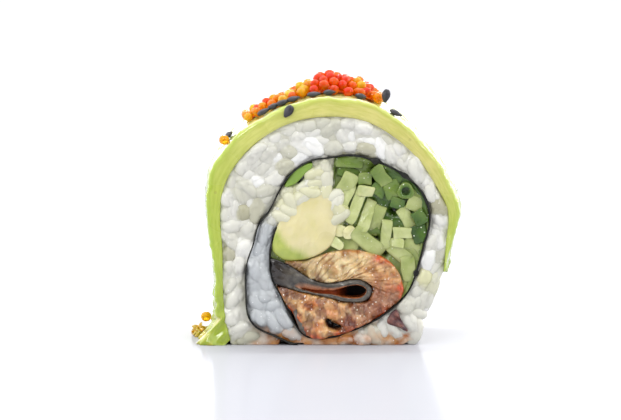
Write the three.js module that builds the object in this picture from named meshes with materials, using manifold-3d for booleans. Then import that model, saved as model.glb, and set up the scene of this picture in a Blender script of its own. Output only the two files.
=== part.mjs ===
// One piece of an uramaki roll, standing on its side so that the cut face looks along -Y.
// From outside to inside: three shingled slices of avocado, a spiral of rice, a sheet of nori rolled with it,
// and a filling of folded grilled eel, an avocado wedge and cucumber sticks. Roe and black sesame lie on top.
// Millimetres, +Z up. The origin is on the flat base, below the middle of the roll.
import * as THREE from "three";
import { mergeVertices } from "three/addons/utils/BufferGeometryUtils.js";
import Module from "manifold-3d";

const wasm = await Module();
wasm.setup();

// Driving sizes
const ROLL_DEPTH = 26;
const FACE = ROLL_DEPTH / 2;
const CENTRE_Z = 19.4;
const BARREL = 0.5; // how far the roll swells between its two cuts
const GAP = 0.28; // clearance between neighbouring pieces
const NORI_THICK = 0.36;
const FLOOR_CLEAR = 0.1;
const GRAIN = { length: 5.6, width: 3.0, spacing: 3.5, margin: 0.75 };
const GRAIN_STANDS = 0.9; // how far grains stand out of the rice core at a cut
const GRAIN_LYING = 0.8; // how deep the middle of a grain on the side of the roll is
const BEAD_RADIUS = 0.86;
const SEED = { length: 2.9, width: 1.7, thick: 1.0 };
const STEP = 7.5; // degrees between the sections of a ring

// Radii of each layer from the roll's centre, every 15 degrees clockwise as seen from the front, 0 at the top
const TABLE_STEP = 15;
const FLOOR_SIDE = 30; // further out than the floor, which cuts it
const BLANKET_OUTER = {
  from: 225,
  radii: [
    27.4, 25.0, 22.7, 22.8, 24.4, 26.4, 27.3, 27.4, 27.7, 28.0, 27.8, 27.0, 26.2, 25.7, 25.6,
    23.1, 22.6, 22.6,
  ],
};
const RICE_OUTER = {
  from: 195,
  radii: [
    FLOOR_SIDE, FLOOR_SIDE, 26.5, 23.2, 21.0, 20.4, 21.5, 22.9, 23.5, 23.9, 24.2, 24.2, 24.3, 23.7,
    23.2, 22.9, 23.1, 21.9, 22.1, 22.4, 24.2, FLOOR_SIDE, FLOOR_SIDE, FLOOR_SIDE, FLOOR_SIDE,
  ],
};
const NORI = {
  from: 195,
  radii: [
    20.4, 20.5, 21.2, 18.5, 16.5, 14.6, 14.1, 13.2, 13.9, 15.3, 16.3, 16.6, 17.6, 18.2, 19.2, 20.1,
    19.7, 17.9, 17.3, 17.5, 17.1, 16.9, 17.1, 18.0, 18.2, 15.4, 13.5, 12.8, 11.9, 11.2, 10.8, 10.7,
  ],
};
const TONGUE_INNER = { from: 630, radii: [10.9, 10.7, 10.5, 10.4, 10.5, 10.7, 10.6, 10.4] };

// Clock angles where the layers begin and end. The nori and the rice go round more than once.
const TURN = 360;
const BLANKET = { start: 232.5, end: 463.5 };
const NORI_RUN = { start: 198, end: 648 };
const RICE_RUN = { start: 207, end: 723 };
const TONGUE_START = NORI_RUN.start + TURN - 3; // where the rice dips under the first turn of nori
const EXPOSED = { start: 466, end: 500 }; // rice that no avocado covers, at the lower right
const BLANKET_FOOT = { flare: 5.2, fall: 2.6 }; // the front slice spreads out on the floor

const rad = THREE.MathUtils.degToRad;

// Catmull-Rom through a table of radii
function radiusAt(table, angle) {
  const last = table.radii.length - 1;
  const place = THREE.MathUtils.clamp((angle - table.from) / TABLE_STEP, 0, last);
  const i = Math.min(Math.floor(place), last - 1);
  const at = (k) => table.radii[THREE.MathUtils.clamp(k, 0, last)];
  const t = place - i;
  const [a, b, c, d] = [at(i - 1), at(i), at(i + 1), at(i + 2)];
  return b + 0.5 * t * (c - a + t * (2 * a - 5 * b + 4 * c - d + t * (3 * (b - c) + d - a)));
}

function floorRadius(angle) {
  const down = -Math.cos(rad(angle));
  return down > 0.05 ? CENTRE_Z / down : Infinity;
}

function clock(angle, radius, y) {
  return new THREE.Vector3(radius * Math.sin(rad(angle)), y, CENTRE_Z + radius * Math.cos(rad(angle)));
}

// The middle of the nori, which stays just above the floor
const NORI_HALF = NORI_THICK / 2;
const noriMiddle = (angle) => Math.min(radiusAt(NORI, angle), floorRadius(angle) - NORI_HALF - FLOOR_CLEAR);
const noriInside = (angle) => noriMiddle(angle) - NORI_HALF - GAP;
const noriOutside = (angle) => noriMiddle(angle) + NORI_HALF + GAP;

// The green sliver between the nori and the rice tongue, a lens round its middle angle
const SLIVER = { middle: 695, half: 13, thick: 2.2 };
function sliverDepth(angle) {
  const t = (angle - SLIVER.middle) / SLIVER.half;
  return Math.abs(t) < 1 ? SLIVER.thick * (1 - t * t) : 0;
}

function riceOuter(angle) {
  if (angle < TONGUE_START) return Math.min(radiusAt(RICE_OUTER, angle), floorRadius(angle));
  const lens = sliverDepth(angle);
  return noriInside(angle - TURN) - (lens > 0 ? lens + GAP : 0);
}

function riceInner(angle) {
  if (angle < NORI_RUN.end) return noriOutside(angle);
  return radiusAt(TONGUE_INNER, angle);
}

// The boundary of the filling: the inside of the nori, then of the rice tongue
function fillingEdge(angle) {
  if (angle < NORI_RUN.end) return noriInside(angle);
  return radiusAt(TONGUE_INNER, angle) - GAP;
}

// Seeded random numbers
function makeRandom(seed) {
  let state = seed;
  return () => {
    state = (state + 0x6d2b79f5) | 0;
    let t = Math.imul(state ^ (state >>> 15), 1 | state);
    t = (t + Math.imul(t ^ (t >>> 7), 61 | t)) ^ t;
    return ((t ^ (t >>> 14)) >>> 0) / 4294967296;
  };
}

// Solids from sections: every section is a loop with the same number of points, capped at both ends
function loft(sections) {
  const n = sections[0].length;
  const positions = sections.flatMap((loop) => loop.flatMap((p) => [p.x, p.y, p.z]));
  const faces = [];
  for (let s = 0; s < sections.length - 1; s++) {
    for (let k = 0; k < n; k++) {
      const a = s * n + k;
      const b = s * n + ((k + 1) % n);
      faces.push(a, b, b + n, a, b + n, a + n);
    }
  }
  const normal = sections[1][0].clone().sub(sections[0][0]);
  const side = Math.abs(normal.y) > Math.max(Math.abs(normal.x), Math.abs(normal.z));
  for (const [s, first] of [[0, true], [sections.length - 1, false]]) {
    const loop = sections[s].map((p) => (side ? new THREE.Vector2(p.x, p.z) : null));
    const cap = side ? THREE.ShapeUtils.triangulateShape(loop, []) : fan(n);
    for (const [a, b, c] of cap) {
      const keep = side ? THREE.ShapeUtils.isClockWise(loop) === first : !first;
      faces.push(...(keep ? [a, b, c] : [a, c, b]).map((k) => s * n + k));
    }
  }
  return closedGeometry(new Float32Array(positions), faces);
}

function fan(n) {
  return Array.from({ length: n - 2 }, (_, k) => [0, k + 1, k + 2]);
}

// A geometry whose faces point out: their signed volume is positive
function closedGeometry(positions, faces) {
  const corner = (k) => new THREE.Vector3().fromArray(positions, faces[k] * 3);
  let volume = 0;
  for (let i = 0; i < faces.length; i += 3) volume += corner(i).dot(corner(i + 1).cross(corner(i + 2)));
  const g = new THREE.BufferGeometry();
  g.setAttribute("position", new THREE.BufferAttribute(positions, 3));
  g.setIndex(volume > 0 ? faces : faces.reverse());
  return g;
}

// three.js geometry to a solid that can be cut and joined, and back
function solid(geometry) {
  const bare = geometry.clone();
  for (const name of ["normal", "uv"]) bare.deleteAttribute(name);
  const merged = mergeVertices(bare, 1e-4);
  return new wasm.Manifold(
    new wasm.Mesh({
      numProp: 3,
      vertProperties: merged.attributes.position.array,
      triVerts: new Uint32Array(merged.index.array),
    }),
  );
}

function join(solids) {
  return wasm.Manifold.union(solids);
}

// The largest body of a solid, so that no scrap or sealed hollow stays
function mainBody(made) {
  return made.decompose().reduce((best, body) => (body.volume() > best.volume() ? body : best));
}

function geometryOf(made) {
  const mesh = made.getMesh();
  return closedGeometry(mesh.vertProperties, [...mesh.triVerts]);
}

// Every layer has its sections at the same angles, so that neighbours keep their clearance between them
function stations(start, end) {
  const angles = [start];
  for (let angle = Math.floor(start / STEP + 1) * STEP; angle < end - 0.5; angle += STEP) {
    if (angle > start + 0.5) angles.push(angle);
  }
  return [...angles, end];
}

// A layer that runs round the roll between two radii, from one cut to the other
function layer({ start, end }, inner, outer, reach, swell = 0) {
  const sections = [];
  for (const angle of stations(start, end)) {
    const low = inner(angle);
    const high = outer(angle);
    const loop = [clock(angle, low, -reach), clock(angle, high, -reach)];
    const bulged = angle < TONGUE_START ? Math.min(high + swell, floorRadius(angle)) : high;
    if (swell > 0) loop.push(clock(angle, bulged, 0));
    loop.push(clock(angle, high, reach), clock(angle, low, reach));
    sections.push(loop);
  }
  return loft(sections);
}

// A closed smooth outline in the XZ plane through a few corners
function outline(corners, steps) {
  const curve = new THREE.CatmullRomCurve3(corners.map(([x, z]) => new THREE.Vector3(x, 0, z)), true);
  return curve.getPoints(steps).slice(0, steps);
}

// The outline moved outwards by a distance, or inwards when it is negative
function grown(loop, distance) {
  const flat = loop.map((p) => new THREE.Vector2(p.x, p.z));
  const outwards = THREE.ShapeUtils.isClockWise(flat) ? distance : -distance;
  return loop.map((p, k) => {
    const before = loop[(k + loop.length - 1) % loop.length];
    const after = loop[(k + 1) % loop.length];
    const along = after.clone().sub(before).normalize();
    return new THREE.Vector3(p.x - along.z * outwards, 0, p.z + along.x * outwards);
  });
}

// A prism along Y with softened rims at both cuts
function block(loop, reach, rim = 0.35) {
  const depths = [[-reach, -rim], [-reach + rim, 0], [reach - rim, 0], [reach, -rim]];
  return loft(depths.map(([y, inset]) => grown(loop, inset).map((p) => new THREE.Vector3(p.x, y, p.z))));
}

function prism(loop, reach) {
  return loft([-reach, reach].map((y) => loop.map((p) => new THREE.Vector3(p.x, y, p.z))));
}

function ellipsoid(size, place, turn, around = 6, up = 4) {
  const g = new THREE.SphereGeometry(0.5, around, up);
  g.scale(...size);
  g.applyMatrix4(new THREE.Matrix4().makeRotationFromEuler(turn));
  g.translate(place.x, place.y, place.z);
  return solid(g);
}

// Filling space, which trims every piece of the filling clear of the nori and the rice
function fillingSpace() {
  const loop = [];
  for (const angle of stations(RICE_RUN.end - TURN, RICE_RUN.end)) {
    loop.push(clock(angle, fillingEdge(angle), 0));
  }
  return solid(prism(loop, FACE + 1));
}
const filling = fillingSpace();

// Nori: one thin sheet rolled with the rice
function makeNori() {
  return layer(NORI_RUN, (a) => noriMiddle(a) - NORI_HALF, (a) => noriMiddle(a) + NORI_HALF, FACE - 0.25);
}

// Eel: flesh folded round its own skin, with a slot inside the fold
const EEL_CORNERS = [
  [-11.2, 16.8], [-7.6, 15.9], [-4.8, 16.1], [-2.9, 16.9], [0.6, 18.0], [4.2, 18.3], [8.0, 17.5],
  [10.8, 16.4], [12.7, 14.5], [13.6, 12.2], [13.8, 10.1], [12.9, 8.4], [9.5, 5.6], [6.7, 4.1],
  [3.8, 3.1], [1.0, 2.5], [-1.9, 1.9], [-4.6, 2.2], [-5.9, 3.8], [-7.2, 6.9], [-8.6, 9.4],
  [-11.0, 12.2], [-11.6, 14.8],
];
const SKIN_CORNERS = [
  [-11.6, 16.7], [-8.4, 15.8], [-6.1, 14.3], [-3.8, 12.8], [-1.5, 12.1], [1.1, 12.1], [3.4, 12.7],
  [5.7, 12.7], [7.4, 11.9], [8.1, 10.6], [7.5, 9.1], [5.9, 8.3], [3.2, 8.2], [0.4, 8.6],
  [-2.1, 9.1], [-5.0, 9.7], [-7.8, 10.6], [-10.6, 11.6], [-11.8, 13.6],
];
const SLOT_CORNERS = [
  [-5.4, 10.9], [-1.9, 10.8], [1.0, 11.1], [3.4, 11.6], [5.7, 11.6], [6.9, 10.6], [5.9, 9.3],
  [3.0, 9.1], [-1.0, 9.8],
];
const SIDE_SKIN_CORNERS = [
  [-7.5, 8.4], [-6.7, 8.2], [-6.0, 5.9], [-5.2, 4.0], [-4.5, 2.2], [-5.4, 2.0], [-6.1, 3.8], [-6.9, 6.0],
];
const eelLoop = outline(EEL_CORNERS, 36);
const skinLoop = outline(SKIN_CORNERS, 36);
const slotLoop = outline(SLOT_CORNERS, 16);
const sideSkinLoop = outline(SIDE_SKIN_CORNERS, 16);
const PIT = { x: -0.3, z: 4.6, radius: 0.95, depth: 2 };

// Flakes of cooked flesh stand out of the cut as low ridges across the fillet, in rows from x, z to x, z
const FLAKE_ROWS = [
  { from: [-3.2, 14.6], to: [10.6, 14.2], count: 8 },
  { from: [11.3, 12.6], to: [9.6, 8.4], count: 3 },
  { from: [-5.0, 6.6], to: [8.4, 6.6], count: 7 },
];
const FLAKE = { width: 1.7, height: 3.1, depth: 1.6, sunk: 0.5, jitter: 0.5, turn: 0.6 };

function fleshFlakes(random) {
  const flakes = [];
  const vary = (range) => (random() - 0.5) * range;
  for (const face of [-1, 1]) {
    for (const { from, to, count } of FLAKE_ROWS) {
      for (let i = 0; i < count; i++) {
        const t = (i + 0.5) / count;
        const x = THREE.MathUtils.lerp(from[0], to[0], t) + vary(FLAKE.jitter);
        const z = THREE.MathUtils.lerp(from[1], to[1], t) + vary(FLAKE.jitter);
        const size = [FLAKE.width + vary(0.4), FLAKE.depth, FLAKE.height + vary(0.7)];
        const place = new THREE.Vector3(x, face * (FACE - FLAKE.sunk), z);
        flakes.push(ellipsoid(size, place, new THREE.Euler(0, vary(FLAKE.turn), 0), 6, 3));
      }
    }
  }
  return flakes;
}

function makeEelFlesh() {
  const whole = solid(block(eelLoop, FACE - 0.2, 0.5));
  const pit = new THREE.BoxGeometry(PIT.radius * 2, PIT.depth * 2, PIT.radius * 1.5);
  pit.translate(PIT.x, -FACE, PIT.z);
  const flesh = join([whole, ...fleshFlakes(makeRandom(11))])
    .intersect(solid(prism(eelLoop, FACE + 1)))
    .subtract(solid(prism(grown(skinLoop, GAP), FACE + 2)))
    .subtract(solid(prism(grown(sideSkinLoop, GAP), FACE + 2)))
    .subtract(solid(pit));
  return geometryOf(mainBody(flesh.intersect(filling)));
}

function makeEelSkin() {
  const skin = solid(block(skinLoop, FACE - 0.1, 0.2)).subtract(solid(prism(slotLoop, FACE + 1)));
  return geometryOf(mainBody(skin.intersect(filling)));
}

function makeEelSideSkin() {
  return geometryOf(mainBody(solid(block(sideSkinLoop, FACE, 0.15)).intersect(filling)));
}

// Avocado wedge, cream with a green rim, and the green sliver under the nori
const WEDGE_CORNERS = [
  [-9.2, 24.4], [-6.8, 27.2], [-4.9, 28.4], [-3.0, 29.2], [-0.8, 28.7], [0.8, 26.8], [1.2, 24.5],
  [0.9, 21.9], [0.2, 19.8], [-1.3, 18.3], [-3.6, 17.2], [-5.7, 16.7], [-8.0, 16.6], [-9.7, 17.4],
  [-10.7, 18.8], [-10.9, 20.6], [-10.4, 22.4],
];
const wedgeLoop = outline(WEDGE_CORNERS, 30);

function makeWedge() {
  const eel = solid(prism(grown(eelLoop, GAP), FACE + 2));
  return geometryOf(mainBody(solid(block(wedgeLoop, FACE + 0.2, 0.6)).intersect(filling).subtract(eel)));
}

function makeSliver() {
  const run = { start: SLIVER.middle - SLIVER.half * 0.9, end: SLIVER.middle + SLIVER.half * 0.9 };
  return layer(
    run,
    (a) => noriInside(a - TURN) - Math.max(sliverDepth(a), 0.3),
    (a) => noriInside(a - TURN),
    FACE - 0.1,
  );
}

// Cucumber sticks: middle x and z, width, height and turn of each cut end, in millimetres and degrees
const STICKS = [
  [3.4, 35.2, 5.4, 2.0, -4], [2.9, 33.2, 5.0, 2.0, -20], [6.7, 31.9, 2.6, 2.0, -8],
  [9.9, 32.6, 3.6, 2.4, -48], [12.4, 33.2, 3.6, 2.4, -40], [9.7, 29.9, 2.8, 2.5, -35],
  [12.7, 30.0, 3.2, 3.0, -60], [16.2, 29.6, 2.7, 3.0, -20], [15.7, 27.2, 3.2, 2.6, -20],
  [12.6, 27.2, 2.4, 1.9, 10], [14.1, 24.0, 4.6, 2.1, -55], [16.7, 24.4, 2.6, 2.4, -60],
  [17.0, 21.6, 3.2, 2.8, -70], [3.0, 28.2, 7.2, 1.7, 60], [4.6, 27.4, 7.0, 1.7, 63],
  [6.0, 27.7, 8.0, 1.9, 66], [7.4, 25.0, 5.4, 1.9, 75], [9.2, 24.2, 5.6, 1.9, 72],
  [10.6, 21.1, 5.8, 2.1, 85], [13.4, 21.5, 3.3, 2.1, 0], [6.6, 19.5, 6.6, 2.4, -36],
  [1.9, 23.3, 4.4, 2.6, 70], [2.0, 20.2, 4.4, 3.6, 10], [13.6, 17.6, 5.4, 2.4, -38],
  [15.8, 18.8, 4.6, 2.4, -30], [14.8, 14.8, 4.6, 2.2, -80], [14.6, 11.4, 4.6, 1.9, 80],
];
const STICK_STANDS = 1.4; // how far the cut ends stand out of the bundle
const STICK_UNEVEN = 0.8;
const TOWARDS_VIEWER = new THREE.Vector3(0, -1, 0);

// The body of the bundle behind the cut ends, trimmed to the space that the other fillings leave
const BUNDLE_CORNERS = [[1.2, 37], [10, 37], [19, 31], [20, 20], [16, 9], [12, 10], [10, 19], [0.8, 19]];

function makeSticks() {
  const random = makeRandom(5);
  const core = solid(prism(outline(BUNDLE_CORNERS, 20), FACE - STICK_STANDS));
  const sticks = STICKS.map(([x, z, width, height, turn]) => {
    const corners = [[-1, -1], [1, -1], [1, 1], [-1, 1]].map(
      ([s, t]) => new THREE.Vector3((s * width) / 2, 0, (t * height) / 2),
    );
    const middle = new THREE.Vector3(x, 0, z);
    const loop = corners.map((p) => p.applyAxisAngle(TOWARDS_VIEWER, rad(turn)).add(middle));
    return solid(prism(loop, FACE - 0.5 + random() * STICK_UNEVEN));
  });
  const bundle = join([core, ...sticks])
    .intersect(filling)
    .subtract(solid(prism(grown(eelLoop, GAP), FACE + 2)))
    .subtract(solid(prism(grown(wedgeLoop, GAP), FACE + 2)));
  return geometryOf(mainBody(bundle));
}

// A dark corner of eel skin that pokes through into the rice at the lower right
const FLAKE_CORNERS = [[11.2, 5.6], [12.7, 6.9], [13.6, 5.0], [14.9, 2.7], [12.9, 3.6], [11.0, 4.2]];
const flakeLoop = outline(FLAKE_CORNERS, 12);

function makeFlake() {
  const clear = solid(layer({ start: 485, end: 560 }, noriOutside, () => FLOOR_SIDE, FACE + 2));
  return geometryOf(mainBody(solid(block(flakeLoop, FACE - 0.1, 0.15)).intersect(clear)));
}

// Rice: a spiral core with grains fused on where the rice shows
function inBand(angle, radius, margin) {
  return radius > riceInner(angle) + margin && radius < riceOuter(angle) - margin;
}

function scatterOnCut(random) {
  const places = [];
  for (let tries = 0; tries < 9000; tries++) {
    const angle = RICE_RUN.start + random() * (RICE_RUN.end - RICE_RUN.start);
    const radius = Math.sqrt(random()) * FLOOR_SIDE;
    if (!inBand(angle, radius, GRAIN.margin)) continue;
    const p = clock(angle, radius, 0);
    if (p.z > GRAIN.width * 0.36 && places.every((q) => q.distanceTo(p) > GRAIN.spacing)) places.push(p);
  }
  return places;
}

function grainAt(place, random, tilt) {
  const stretch = 0.85 + random() * 0.3;
  const size = [GRAIN.length * stretch, GRAIN.width, GRAIN.width * (0.85 + random() * 0.15)];
  const turn = new THREE.Euler(0, random() * Math.PI, (random() - 0.5) * tilt, "YZX");
  return ellipsoid(size, place, turn, 6, 3);
}

// Grains on the bare side: rows from cut to cut, degrees apart and staggered, and how far they may stand out
const SIDE = { rows: 6, apart: 9, stagger: 4, proud: 1.2 };

function makeRice() {
  const random = makeRandom(3);
  const core = solid(layer(RICE_RUN, riceInner, riceOuter, FACE - GRAIN_STANDS, BARREL));
  const grains = [];
  for (const face of [-1, 1]) {
    for (const p of scatterOnCut(random)) {
      p.y = face * (FACE - GRAIN.width / 2 - 0.2 + random() * 0.3);
      grains.push(grainAt(p, random, 0.5));
    }
  }
  for (let row = 0; row < SIDE.rows; row++) {
    for (let angle = EXPOSED.start + 2; angle < EXPOSED.end - 3; angle += SIDE.apart) {
      const at = angle + (random() - 0.5) * 3 + (row % 2) * SIDE.stagger;
      const y = (-0.5 + (row + 0.5) / SIDE.rows) * (ROLL_DEPTH - 4) + (random() - 0.5);
      const p = clock(at, riceOuter(at) - GRAIN_LYING, y);
      grains.push(grainAt(p, random, 1.2));
    }
  }
  const bare = (angle) => angle > EXPOSED.start && angle < EXPOSED.end;
  const limit = (angle) => {
    const proud = bare(angle) ? SIDE.proud : 0;
    return angle < TONGUE_START ? Math.min(riceOuter(angle) + proud, floorRadius(angle)) : riceOuter(angle);
  };
  const room = solid(layer(RICE_RUN, riceInner, limit, FACE + 1, BARREL));
  const flake = solid(prism(grown(flakeLoop, GAP), FACE + 2));
  return geometryOf(mainBody(join([core, ...grains]).intersect(room).subtract(flake)));
}

// Avocado blanket: three slices shingled from front to back, each rising towards the slice that it covers
const SLICES = 3;
const SHINGLE = { lean: 2.2, step: 0.45, gap: 0.36, wave: 0.3 };
const SLICE_DEPTH = ROLL_DEPTH / SLICES;

function blanketOuter(angle) {
  return radiusAt(BLANKET_OUTER, angle);
}

function footFlare(angle, slice) {
  const share = slice === 0 ? 1 : 0.35;
  return share * BLANKET_FOOT.flare * Math.exp(-(angle - BLANKET.start) / BLANKET_FOOT.fall);
}

// How deep into the roll one slice gives way to the next, which wanders a little
function seamAt(seam, angle) {
  return -FACE + seam * SLICE_DEPTH + SHINGLE.wave * Math.sin(rad(angle * 3 + seam * 140));
}

function makeSlice(slice) {
  const cutFront = slice === 0;
  const cutBack = slice === SLICES - 1;
  const front = -FACE + slice * SLICE_DEPTH;
  const leanFront = cutFront ? 0 : SHINGLE.lean / 2;
  const leanBack = cutBack ? 0 : SHINGLE.lean / 2;
  const end = BLANKET.end - slice * 5;
  const sections = [];
  for (const angle of stations(BLANKET.start, end)) {
    const inner = Math.min(riceOuter(angle) + BARREL + GAP, floorRadius(angle));
    const swell = (y) => BARREL * (1 - (y / FACE) ** 2);
    const low = (y) => Math.min(Math.max(riceOuter(angle) + swell(y) + GAP + 0.02, 0), floorRadius(angle));
    const rise = (y) => swell(y) + (cutFront ? 0 : SHINGLE.step * ((y - front) / SLICE_DEPTH - 0.6));
    const high = (y) => {
      const outer = Math.max(blanketOuter(angle) + rise(y), inner + 0.6) + footFlare(angle, slice);
      return Math.min(outer, floorRadius(angle));
    };
    const f = cutFront ? -FACE : seamAt(slice, angle) + SHINGLE.gap / 2;
    const b = cutBack ? FACE : seamAt(slice + 1, angle) - SHINGLE.gap / 2;
    sections.push([
      clock(angle, low(f - leanFront), f - leanFront),
      clock(angle, high(f + leanFront), f + leanFront),
      clock(angle, high(b + leanBack), b + leanBack),
      clock(angle, low(b - leanBack), b - leanBack),
    ]);
  }
  return loft(sections);
}

// Black sesame on the front slice: clock angle, depth behind the front cut, turn in degrees
const SEEDS = [
  [316.9, 2.2, 60], [333.4, 1.0, 84], [337.6, 1.1, 78], [342, 1.0, 86], [345.9, 1.1, 82], [353.9, 1.1, 88],
  [360.8, 1.0, 85], [373.7, 1.1, 80], [381.5, 2.6, 20], [386.7, 1.3, 80],
];

const FACE_SEED = { angle: 342.7, radius: 26.6, turn: -57 };
const LONE_BEAD = { angle: 314.5, depth: 2.6 };

function seedOn(angle, depth, turn) {
  const y = -FACE + depth;
  const surface = blanketOuter(angle) + BARREL * (1 - (y / FACE) ** 2);
  const g = new THREE.SphereGeometry(0.5, 6, 4);
  g.scale(SEED.length, SEED.width, SEED.thick);
  g.rotateZ(rad(90 - turn));
  g.rotateY(rad(angle));
  const p = clock(angle, surface + SEED.thick * 0.12, y);
  g.translate(p.x, p.y, p.z);
  return solid(g);
}

function makeFrontSlice() {
  const seeds = SEEDS.map(([angle, depth, turn]) => seedOn(angle, depth, turn));
  const loneRadius = blanketOuter(LONE_BEAD.angle) + BEAD_RADIUS * 0.9;
  const lone = clock(LONE_BEAD.angle, loneRadius, -FACE + LONE_BEAD.depth);
  const onFace = clock(FACE_SEED.angle, FACE_SEED.radius, -FACE - 0.1);
  const faceTurn = new THREE.Euler(0, rad(FACE_SEED.turn), 0);
  const faceSeed = ellipsoid([SEED.length, SEED.thick, SEED.width], onFace, faceTurn);
  return geometryOf(mainBody(join([solid(makeSlice(0)), ...seeds, beadAt(lone), faceSeed])));
}

// Roe: a low mound of small beads, heaped over a core that follows the avocado
const ROE = { spacing: 2.1, inset: 0.6, coreBelow: 0.7, coreThin: 0.25, sections: 8 };

function makeRoe({ from, to, depth, height, seed }) {
  const random = makeRandom(seed);
  const y0 = -FACE + depth[0];
  const y1 = -FACE + depth[1];
  const top = (angle, y) => {
    const u = (2 * (angle - from)) / (to - from) - 1;
    const v = (2 * (y - y0)) / (y1 - y0) - 1;
    return height * Math.sqrt(Math.max(0, 1 - u * u * u * u - v * v));
  };
  const lift = SHINGLE.step * 0.4 + GAP;
  const ground = (angle, y) => blanketOuter(angle) + BARREL * (1 - (y / FACE) ** 2) + lift;
  const [front, middle, back] = [y0 + ROE.inset, (y0 + y1) / 2, y1 - ROE.inset];
  const sections = [];
  for (let i = 0; i <= ROE.sections; i++) {
    const angle = from + 1 + ((to - from - 2) * i) / ROE.sections;
    const loop = [clock(angle, ground(angle, front), front)];
    for (const share of [0.2, 0.5, 0.8]) {
      const y = THREE.MathUtils.lerp(y0, y1, share);
      loop.push(clock(angle, ground(angle, y) + Math.max(top(angle, y) - ROE.coreBelow, ROE.coreThin), y));
    }
    loop.push(clock(angle, ground(angle, back), back), clock(angle, ground(angle, middle), middle));
    sections.push(loop);
  }
  const beads = [];
  const places = [];
  for (let tries = 0; tries < 2500; tries++) {
    const angle = from + random() * (to - from);
    const y = THREE.MathUtils.lerp(y0, y1, random());
    if (top(angle, y) <= 0) continue;
    const up = Math.max(top(angle, y) - BEAD_RADIUS * 0.5, BEAD_RADIUS * 0.9);
    const p = clock(angle, ground(angle, y) + up, y);
    if (places.some((q) => q.distanceTo(p) < ROE.spacing)) continue;
    places.push(p);
    beads.push(beadAt(p));
  }
  return geometryOf(mainBody(join([solid(loft(sections)), ...beads])));
}

function beadAt(place) {
  return solid(new THREE.IcosahedronGeometry(BEAD_RADIUS, 0).translate(place.x, place.y, place.z));
}

// A crumbled bit of roe and avocado that fell beside the left foot, its beads in a golden-angle spiral
const CRUMBS = { x: -25.0, y: 1.6, halfWide: 1.5, halfDeep: 2.6, high: 1.0, beads: 7, goldenAngle: 2.4 };

function makeCrumbs() {
  const random = makeRandom(9);
  const base = new THREE.SphereGeometry(1, 8, 4).scale(CRUMBS.halfWide, CRUMBS.halfDeep, CRUMBS.high);
  const beads = [];
  for (let i = 0; i < CRUMBS.beads; i++) {
    const angle = i * CRUMBS.goldenAngle;
    const reach = Math.sqrt((i + 0.5) / CRUMBS.beads);
    const x = CRUMBS.x + (CRUMBS.halfWide - 0.4) * reach * Math.cos(angle);
    const y = CRUMBS.y + (CRUMBS.halfDeep - 0.4) * reach * Math.sin(angle);
    beads.push(beadAt(new THREE.Vector3(x, y, 1.2 - 0.7 * reach + random() * 0.4)));
  }
  const above = new THREE.BoxGeometry(20, 20, 10).translate(CRUMBS.x, CRUMBS.y, 5);
  const heap = join([solid(base.translate(CRUMBS.x, CRUMBS.y, 0)), ...beads]);
  return geometryOf(mainBody(heap.intersect(solid(above))));
}

function material(colour, roughness) {
  return new THREE.MeshStandardMaterial({ color: colour, roughness, metalness: 0 });
}

const AVOCADO_GREEN = material(0xb9c757, 0.35);
const AVOCADO_CREAM = material(0xe9e1ae, 0.4);
const RICE_WHITE = material(0xd9d9d2, 0.4);
const NORI_BLACK = material(0x22261c, 0.6);
const CUCUMBER = material(0xa9b97c, 0.3);
const EEL_BROWN = material(0xb98453, 0.4);
const SKIN_GREY = material(0x55504a, 0.35);
const ROE_ORANGE = material(0xf26a14, 0.15);

const roll = new THREE.Group();
function add(name, geometry, finish) {
  const mesh = new THREE.Mesh(geometry, finish);
  mesh.name = name;
  roll.add(mesh);
}

add("rice", makeRice(), RICE_WHITE);
add("nori_sheet", makeNori(), NORI_BLACK);
add("avocado_slice_front", makeFrontSlice(), AVOCADO_GREEN);
add("avocado_slice_middle", makeSlice(1), AVOCADO_GREEN);
add("avocado_slice_back", makeSlice(2), AVOCADO_GREEN);
add("avocado_wedge", makeWedge(), AVOCADO_CREAM);
add("avocado_sliver", makeSliver(), AVOCADO_GREEN);
add("cucumber_sticks", makeSticks(), CUCUMBER);
add("eel_flesh", makeEelFlesh(), EEL_BROWN);
add("eel_skin", makeEelSkin(), SKIN_GREY);
add("eel_skin_side", makeEelSideSkin(), SKIN_GREY);
add("eel_flake", makeFlake(), SKIN_GREY);
add("roe_mound", makeRoe({ from: 347, to: 380, depth: [2.4, 17], height: 4.2, seed: 21 }), ROE_ORANGE);
add("roe_patch", makeRoe({ from: 326.5, to: 344.5, depth: [2.4, 11], height: 2.2, seed: 22 }), ROE_ORANGE);
add("roe_crumbs", makeCrumbs(), ROE_ORANGE);

export default roll;
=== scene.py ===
# %% [markdown]
# This is one thick piece of an uramaki roll, cut across and set down on the flat side of its rice. The
# solids are loaded first as a fixed frame, and every finer piece is then worked out round them with numpy.

# %% The frame
import math

import bpy
import numpy as np
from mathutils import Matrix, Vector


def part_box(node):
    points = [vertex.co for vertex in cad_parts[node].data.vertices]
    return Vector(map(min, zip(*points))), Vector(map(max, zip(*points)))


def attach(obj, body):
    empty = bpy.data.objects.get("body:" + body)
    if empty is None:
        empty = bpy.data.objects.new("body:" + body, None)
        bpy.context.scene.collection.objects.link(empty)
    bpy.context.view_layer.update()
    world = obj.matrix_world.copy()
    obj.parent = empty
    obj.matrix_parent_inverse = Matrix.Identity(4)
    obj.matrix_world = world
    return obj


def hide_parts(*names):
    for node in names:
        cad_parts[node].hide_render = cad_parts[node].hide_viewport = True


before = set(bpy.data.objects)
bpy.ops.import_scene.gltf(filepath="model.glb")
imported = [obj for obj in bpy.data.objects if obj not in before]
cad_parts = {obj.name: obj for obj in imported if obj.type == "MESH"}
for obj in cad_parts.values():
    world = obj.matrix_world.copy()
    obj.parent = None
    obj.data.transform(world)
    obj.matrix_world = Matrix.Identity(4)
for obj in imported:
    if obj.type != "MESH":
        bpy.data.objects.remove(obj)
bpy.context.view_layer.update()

MM = 0.001
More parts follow.
